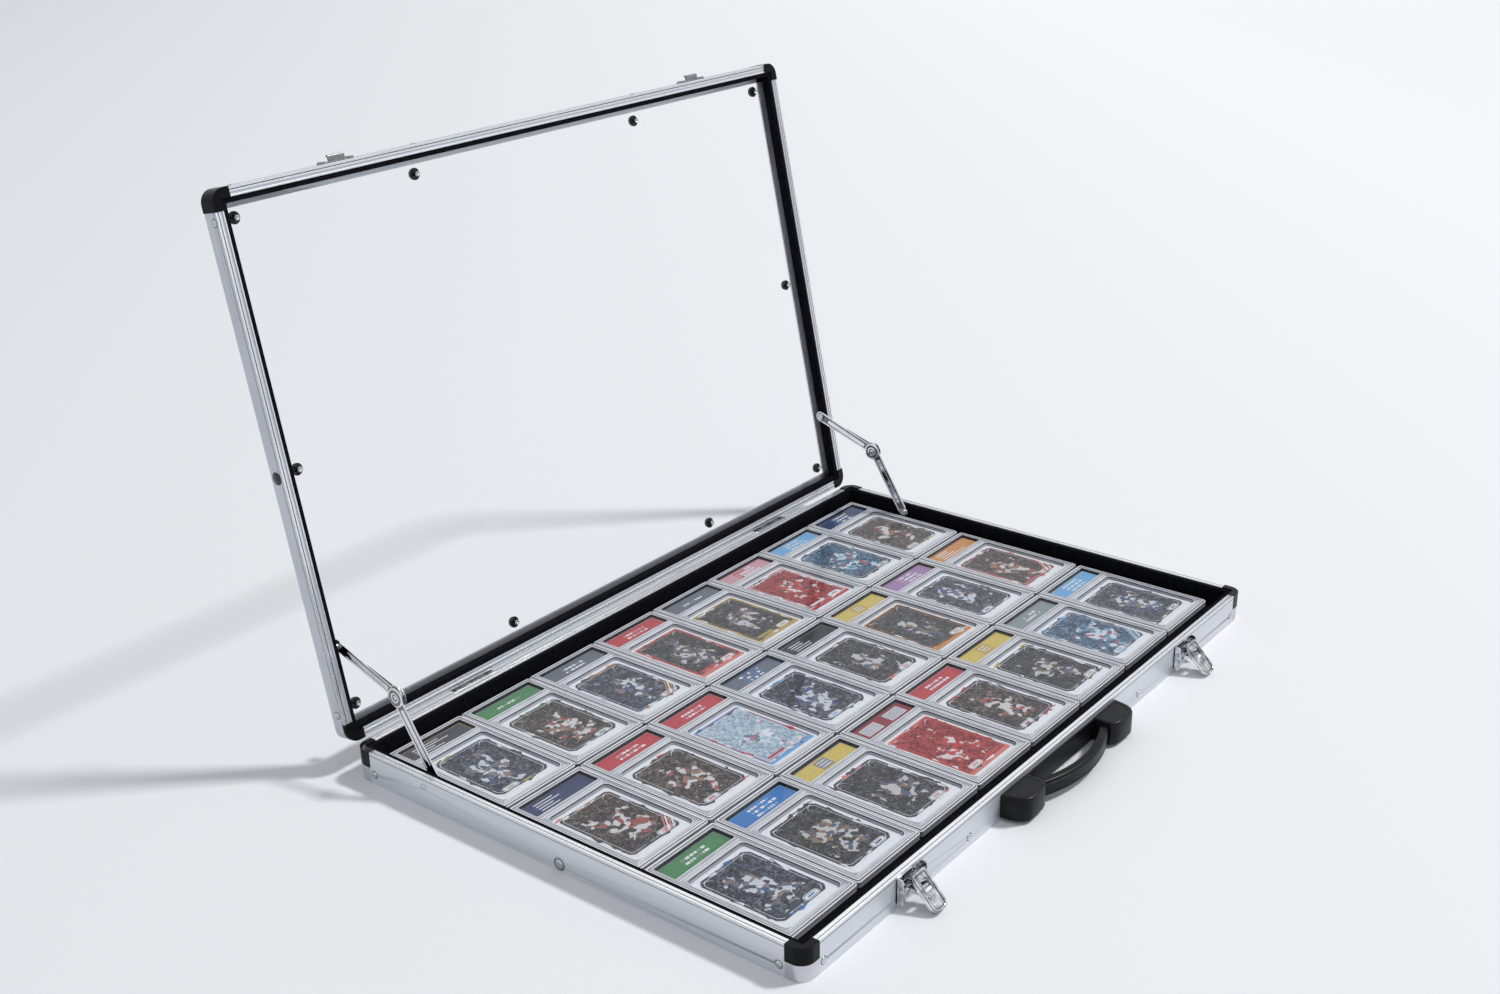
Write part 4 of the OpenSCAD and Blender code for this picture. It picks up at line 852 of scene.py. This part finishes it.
def buildCatches():
    # A plate with a dark slot patch as painted shade, and a curled lip that the lever's hook takes
    bm = bmesh.new()
    alongRail = Matrix(((0, 0, 1, 0), (0, 1, 0, 0), (1, 0, 0, 0), (0, 0, 0, 1)))
    half = latch["leverWidth"] / 2
    for side in (-1, 1):
        face = inLid @ onFace("front", side * latch["x"], 0)
        plate = roundedBox(latch["width"], catch["high"], catch["corner"], at=(0, catch["up"]))
        levels = [(0, 0), (0, latch["sheet"] - 0.35), (0.35, latch["sheet"])]
        terraced(bm, plate, levels, face)
        # Painted shade: a dark patch where the slot would be, with no hole cut
        slot = roundedBox(*catch["slot"], at=(0, catch["slotUp"]))
        terraced(bm, slot, [(0, latch["sheet"] - 0.2), (0, latch["sheet"] + 0.05)], face, 1, endPaint=1)
        for end in (-1, 1):
            rim = roundedBox(*catch["rim"], at=(end * (latch["width"] / 2 - catch["rimIn"]), catch["up"]))
            terraced(bm, rim, [(0, 1.0), (0, 1.7), (0.4, 2.1)], face)
        rings = [ring(bm, catch["lip"], width, face @ alongRail) for width in (-half, half)]
        skin(bm, rings)
        for end in rings:
            fill(bm, [end], 1)
    finishPiece("lid_catch_hooks", bm, ["catchSteel", "rivetBlackAndShade"], "lid",
                ["latch_catches"], 30)


for side, word in ((-1, "left"), (1, "right")):
    buildPlate(side * latch["x"], word)
    buildLever(side * latch["x"], word)
buildCatches()
print("latches built")

# Handle
handle = {
    "bootIn": 55.0, "low": 3.0, "top": 24.0, "axisOut": 10.5, "axisZ": 13.0, "bow": 12.5, "height": 15.0,
    "thick": 8.0, "corner": 2.6, "groove": 0.45, "stations": 44, "gap": 0.3, "pinch": 0.16, "pinchFrom": 0.93,
    "pinchOver": 0.07, "pin": ((3.0, 0), (3.0, 12.6), (2.6, 13.0)), "pinIn": 2,
}
bootPlan = [
    (0, 0), (40, 0), (38.6, -9), (37.2, -13.6), (34.6, -18), (30.5, -21.2), (26, -22), (10, -21.4), (4, -20),
    (0, -17),
]
bootMiddle, bootReach = Vector((19, -9)), 10.5


def gripSection(scale):
    # Rounded section with two fine grooves along the top and two along the outer side
    w, h, r = handle["thick"] / 2 * scale, handle["height"] / 2 * scale, handle["corner"] * scale
    dips = [handle["groove"] * scale * cut for cut in (0, 1, 1, 0, 0, 1, 1, 0)]
    across = [-2.0, -1.75, -1.55, -1.3, 1.3, 1.55, 1.75, 2.0]
    upright = [-4.9, -4.6, -4.4, -4.1, 4.1, 4.4, 4.6, 4.9]
    points = cornerArc(w - r, h - r, r, 0, 6)
    points += [(-x * 0.55, h - dip) for x, dip in zip(across, dips)]
    points += cornerArc(-w + r, h - r, r, 90, 6) + cornerArc(-w + r, -h + r, r, 180, 6)
    points += cornerArc(w - r, -h + r, r, 270, 6)
    return points + [(w - dip, z) for z, dip in zip(upright, dips)]


def bootOutline(inset):
    shrink = 1 - inset / bootReach
    return [(bootMiddle.x + (px - bootMiddle.x) * shrink, bootMiddle.y + (py - bootMiddle.y) * shrink)
            for px, py in bootPlan]


def buildHandle():
    bm = bmesh.new()
    reach = handle["bootIn"] - handle["gap"]
    radius = (reach * reach + handle["bow"] ** 2) / (2 * handle["bow"])
    sweep = math.asin(reach / radius)
    axisY = -case["halfDepth"] - handle["axisOut"]
    rings = []
    for k in range(handle["stations"] + 1):
        share = 2 * k / handle["stations"] - 1
        angle = share * sweep
        out = Vector((math.sin(angle), -math.cos(angle), 0))
        # Pulled in slightly at both ends, where it enters the end blocks
        pull = max(0, (abs(share) - handle["pinchFrom"]) / handle["pinchOver"])
        centreY = axisY + radius - handle["bow"] - radius * math.cos(angle)
        centre = Vector((radius * math.sin(angle), centreY, handle["axisZ"]))
        section = gripSection(1 - handle["pinch"] * pull ** 2)
        rings.append([bm.verts.new(centre + out * x + Vector((0, 0, z))) for x, z in section])
    skin(bm, rings)
    for end in (rings[0], rings[-1]):
        fill(bm, [end])
    for end in (-1, 1):
        pin = shift(end * (reach - handle["pinIn"]), axisY, handle["axisZ"]) @ sideways(end)
        turnedRings(bm, handle["pin"], pin, 24)
    finishPiece("handle_grip_moulding", bm, ["handleBlack"], "handle", ["handle_grip"], 50)
    # The end blocks, with a shallow dish on top
    bm = bmesh.new()
    low, top = handle["low"], handle["top"]
    levels = [
        (0.5, low), (0.12, low + 0.4), (0, low + 1), (0, top - 1.6), (0.25, top - 0.7), (0.8, top - 0.15),
        (1.4, top), (2.2, top), (2.6, top - 0.4)]
    for side in (-1, 1):
        spot = shift(side * handle["bootIn"], -case["halfDepth"], 0)
        terraced(bm, bootOutline, levels, spot @ Matrix.Diagonal((side, 1, 1, 1)))
    finishPiece("handle_end_blocks", bm, ["handleBlack"], "tray", ["handle_brackets"], 28)


buildHandle()
print("handle built")

# Card slabs
slab = {
    "width": 82.6, "depth": 136.6, "gapX": 0.6, "gapY": 3.0, "corner": 3.0, "bottomZ": 11.3, "midY": 5.0,
    "cardWidth": 63.5, "cardDepth": 88.9, "cardMargin": 10.0, "cardCorner": 3.0, "labelWidth": 69.0,
    "labelDepth": 20.4, "labelMargin": 6.3, "labelCorner": 0.8, "floorZ": 3.5, "cardZ": 3.75, "faceZ": 5.37,
    "cardPane": -1.46, "labelPane": -0.44,
}
cardY = -slab["depth"] / 2 + slab["cardMargin"] + slab["cardDepth"] / 2
labelY = slab["depth"] / 2 - slab["labelMargin"] - slab["labelDepth"] / 2
# The print's sizes; a box is its width, depth and corner
art = {
    "layer": 0.04, "field": (55.5, 76.5), "fieldUp": 1.4, "notches": (4.5, 2.0, 3.0, 1.0),
    "inlay": (59, 84, 2.0), "wedges": 24, "wedgeX": 27.9, "wedgeY": 38.4, "wedgeRun": (-0.8, 0.8),
    "wedgeLong": (7, 16), "wedgeThick": (1.4, 3.2), "wedgeKnee": 0.22,
    "badge": (17, 6.4, 3.1), "badgeX": (-13, 12, 14), "badgeDown": 33.6, "badgeBar": (8, 1.6, 0.7),
    "footBar": (22, 2.6, 1.0), "footBarDown": 33.2, "bandX": 27.7, "bandDown": 36.8, "bandStep": 3.0,
    "bandWide": 1.7, "bandSlope": 1.25, "curlX": 24.5, "curlUp": 38.2, "curlRadius": 9, "curlTurn": 0.26,
    "markHalf": 13, "markStep": 5.0, "markLong": (1.4, 4.6), "markHigh": 2.6, "markGap": 0.9,
    "plate": (15, 13, 0.5), "plateX": -2, "plateBar": (11, 1.0, 0.2), "plateStep": 3.4,
    "pane": (22, 12, 0.6), "paneInside": (20.6, 10.6, 0.5), "paneX": 17,
    "lineX": -24, "lineUp": 5, "lineStep": 3.3, "lineLong": (16, 40), "lineHigh": 1.1,
}
slabLooks = ["slabFrost", "slabGlint", "slabShade", "slabFloor", "cardStock"]
# Each print: label colour, label edge, label marks, picture palette, frame line, accent, card style
prints = {
    1: ("green sage 2 cool charcoal blue 0", "blue sky 3 dusk charcoal navy 0",
        "yellow grey 4 dusk charcoal coral 0", "wine red 5 ruby red coral 1",
        "red rose 2 warm charcoal red 0", "yellow gold 4 dusk charcoal gold 0",
        "sage grey 2 sea slate sky 2", "sky palest 3 cool charcoal slate 0"),
    2: ("navy slate 6 warm charcoal coral 2", "red rose 2 warm charcoal red 0",
        "red rose 2 mist red sky 3", "slate blue 3 cool charcoal sky 0",
        "black grey 6 dusk charcoal coral 0", "yellow gold 4 dusk charcoal orange 1",
        "violet rose 3 cool charcoal slate 0", "orange coral 6 warm red coral 2"),
    3: ("charcoal gold 6 cool charcoal gold 0", "green sage 1 warm charcoal green 0",
        "slate grey 2 cool navy orange 2", "red rose 2 dusk red coral 1",
        "slate grey 1 dusk gold gold 1", "rose red 3 ruby white red 3",
        "sky palest 3 sea charcoal navy 0", "navy blue 3 warm charcoal gold 0"),
}


def notchedFrame(width, depth, notch, at):
    # Picture outline with clipped corners, the same number of points at any inset
    def outline(inset=0):
        w, d, n = width / 2 - inset, depth / 2 - inset, max(notch - inset * 0.4, 0.2)
        m = n * 0.45
        corners = [(w, d - n), (w - m, d - m), (w - n, d), (-w + n, d), (-w + m, d - m), (-w, d - n),
                   (-w, -d + n), (-w + m, -d + m), (-w + n, -d), (w - n, -d), (w - m, -d + m), (w, -d + n)]
        return [(at[0] + x, at[1] + y) for x, y in corners]
    return outline


def buildSlab(row, column, look):
    labelInk, edgeInk, marks, palette, lineInk, accentInk, style = look.split()
    marks, style = int(marks), int(style)
    dice = random.Random(100 * row + column)
    x = (column - 4.5) * (slab["width"] + slab["gapX"])
    y = slab["midY"] + (row - 2) * (slab["depth"] + slab["gapY"])
    place = shift(x, y, slab["bottomZ"])
    inks = (lineInk, accentInk, labelInk, edgeInk, "white", "charcoal")
    looks = slabLooks + ["picture_" + palette] + ["ink_" + tone for tone in inks]
    frost, glint, shade, floorPaint, stock, picture, line, accent, ink, inkEdge, white, dark = range(12)
    top, layer = slab["cardZ"], art["layer"]
    bm = bmesh.new()

    def stack(outline, profile):
        # Rings of inset and height up an outline; each band has its upper ring's finish
        rings = [ring(bm, outline(inset), height, place) for inset, height, paint in profile]
        skin(bm, rings, [paint for inset, height, paint in profile[1:]])
        return rings

    def patch(points, layers, paint):
        # A flat printed area, so many thin layers above the card
        bm.faces.new(ring(bm, points, top + layers * layer, place)).material_index = paint

    def bar(width, depth, radius, at, layers, paint):
        patch(roundedBox(width, depth, radius, at=at)(), layers, paint)

    def strip(outer, inner, layers, paint, around=True):
        height = top + layers * layer
        skin(bm, [ring(bm, outer, height, place), ring(bm, inner, height, place)], paint, around)

    # The shell's edge from its underside up and in, with the two halves' seam and three ridges; the ridges
    # carry painted highlight and their grooves painted shade
    rings = stack(roundedBox(slab["width"], slab["depth"], slab["corner"]), (
        (0.35, 0.0, frost), (0, 0.35, frost), (0, 2.9, frost), (0.3, 3.05, shade), (0.3, 3.35, shade),
        (0, 3.5, frost), (0, 5.0, frost), (0.25, 5.35, glint), (0.95, 5.4, glint), (1.05, 4.9, shade),
        (1.65, 4.9, shade), (1.8, 6.15, frost), (2.0, 6.4, glint), (2.7, 6.4, glint), (3.35, 6.35, frost),
        (3.45, 5.9, shade), (4.0, 5.9, shade), (4.1, 6.35, glint), (4.6, 6.35, glint), (4.8, 5.9, frost)))
    fill(bm, [rings[0]], frost)
    card = roundedBox(slab["cardWidth"], slab["cardDepth"], slab["cardCorner"], at=(0, cardY))
    label = roundedBox(slab["labelWidth"], slab["labelDepth"], slab["labelCorner"], at=(0, labelY))
    # Lips round card and label with painted highlight on top and painted shade on their inner slopes, then
    # their walls down to the floor
    cardRings = stack(card, (
        (-2.7, 5.9, frost), (-2.6, 6.3, glint), (-2.05, 6.3, glint), (-1.95, 5.6, shade), (-1.5, 5.35, shade),
        (-1.3, 3.5, floorPaint)))
    labelRings = stack(label, (
        (-1.0, 5.9, shade), (-0.95, 6.2, glint), (-0.55, 6.2, glint), (-0.45, 5.4, shade),
        (-0.4, 3.5, shade)))
    fill(bm, [rings[-1], cardRings[0], labelRings[0]], frost)
    fill(bm, [cardRings[-1]], floorPaint)
    fill(bm, [labelRings[-1]], shade)
    # Two ribs between label and card, and one in front of the card, all in painted highlight
    behind, before = cardY + slab["cardDepth"] / 2, cardY - slab["cardDepth"] / 2
    for ribY, width in ((behind + 4.1, 66), (behind + 6.4, 70), (before - 3.6, 70)):
        rises = stack(roundedBox(width, 0.7, 0.3, at=(0, ribY)), (
            (0, 5.88, glint), (0.1, 6.2, glint), (0.25, 6.25, glint)))
        fill(bm, [rises[-1]], glint)
    # The card, its picture and its frame
    edge = stack(card, ((0, slab["floorZ"] + 0.02, stock), (0, top - 0.05, stock), (0.1, top, stock)))
    fill(bm, [edge[-1]], stock)
    fieldAt = (0, cardY + art["fieldUp"])
    field = notchedFrame(*art["field"], art["notches"][style], fieldAt)
    if style in (1, 3):
        bar(*art["inlay"], (0, cardY), 1, accent)
    patch(field(), 2, picture)
    strip(field(-0.8), field(0.25), 3, line)
    strip(field(1.5), field(1.95), 3, white if style != 1 else accent)
    # Slim wedges that lean over the border like cut glass
    wedgePaints = (line, white, line, dark, white, accent)
    for k in range(art["wedges"]):
        run = dice.uniform(*art["wedgeRun"])
        reach = dice.choice((-1, 1)) * dice.uniform(*art["wedgeLong"])
        thick = dice.choice((-1, 1)) * dice.uniform(*art["wedgeThick"])
        onEnd = k % 2
        end = dice.choice((-1, 1))
        w, d = art["wedgeX"], art["wedgeY"]
        corner = Vector((run * w, end * d)) if onEnd else Vector((end * w, run * d))
        along = Vector((1, 0)) if onEnd else Vector((0, 1))
        inward = Vector((0, -end)) if onEnd else Vector((-end, 0))
        tip = corner + along * reach
        knee = corner + along * reach * art["wedgeKnee"] + inward * thick
        wedge = [(fieldAt[0] + point.x, fieldAt[1] + point.y) for point in (corner, tip, knee)]
        patch(wedge, 3.3 + 0.05 * k, wedgePaints[k % 6])
    # Plain badge and bars at the foot of the card
    badgeX = dice.choice(art["badgeX"])
    badgeAt = (badgeX, cardY - art["badgeDown"])
    badge = roundedBox(*art["badge"], at=badgeAt)
    patch(badge(), 4, white)
    strip(badge(0.7), badge(1.2), 5, line)
    bar(*art["badgeBar"], badgeAt, 5, accent)
    bar(*art["footBar"], (-badgeX * 0.9, cardY - art["footBarDown"]), 4, line)
    if style == 2:
        # Slanting bands across the lower right corner
        side, base, slope = art["bandX"], cardY - art["bandDown"], art["bandSlope"]
        for k, paint in enumerate((white, line, white, accent, white, accent)):
            a = side - art["bandStep"] * k
            b = a - art["bandWide"]
            low, high = base + (side - a) * slope, base + (side - b) * slope
            patch([(a, base), (side, low), (side, high), (b, base)], 6 + 0.2 * k, paint)
    # Short curls of line that frame the picture's upper corners
    for turn in (-1, 1):
        arc = []
        for k in range(7):
            angle, radius = k * art["curlTurn"], art["curlRadius"]
            arc.append((turn * (art["curlX"] - radius * math.sin(angle)),
                        cardY + art["curlUp"] - radius * (1 - math.cos(angle))))
        strip(arc, [(px - turn * 0.25, py - 0.75) for px, py in arc], 4, white, around=False)
    # The label: dark outer frame, bright edge, colour, and plain marks
    patch(label(0.3), 0, dark)
    patch(label(1.1), 1, inkEdge)
    patch(label(1.75), 2, ink)
    if marks in (1, 2, 3):
        # Rows of plain bars where a printed label has its lines
        for k in range(marks):
            across = -art["markHalf"]
            markY = labelY + (k - (marks - 1) / 2) * art["markStep"]
            while across < art["markHalf"]:
                length = dice.uniform(*art["markLong"])
                barPaint = inkEdge if dice.random() < 0.4 else white
                bar(length, art["markHigh"], 0.3, (across + length / 2, markY), 3, barPaint)
                across += length + art["markGap"]
    elif marks == 4:
        bar(*art["plate"], (art["plateX"], labelY), 3, inkEdge)
        for k in range(3):
            bar(*art["plateBar"], (art["plateX"], labelY - art["plateStep"] + art["plateStep"] * k), 4, white)
    elif marks == 5:
        for end in (-1, 1):
            bar(*art["pane"], (end * art["paneX"], labelY), 3, white)
            bar(*art["paneInside"], (end * art["paneX"], labelY), 4, floorPaint)
    elif marks == 6:
        for k in range(4):
            length = dice.uniform(*art["lineLong"])
            lineAt = (art["lineX"] + length / 2, labelY + art["lineUp"] - art["lineStep"] * k)
            bar(length, art["lineHigh"], 0.3, lineAt, 3, white)
    # Print coordinates for the picture, from corner to corner of the card
    printMap = bm.loops.layers.uv.new("printMap")
    for face in bm.faces:
        for loop in face.loops:
            u = (loop.vert.co.x - x) / slab["cardWidth"] + 0.5
            loop[printMap].uv = (u, (loop.vert.co.y - y - cardY) / slab["cardDepth"] + 0.5)
    body = f"slab_r{row}_c{column}"
    finishPiece(body + "_case", bm, looks, body, ["card_" + body], 25)
    # The clear faces over card and label
    glass = bmesh.new()
    for loop in (card(slab["cardPane"]), label(slab["labelPane"])):
        face = glass.faces.new(ring(glass, loop, slab["faceZ"], place))
        face.normal_update()
        if face.normal.z < 0:
            face.normal_flip()
    finishPiece(body + "_face", glass, ["slabClear"], body, (), closed=False)


for row, looks in prints.items():
    for column, look in enumerate(looks, 1):
        buildSlab(row, column, look)
print("card slabs built")
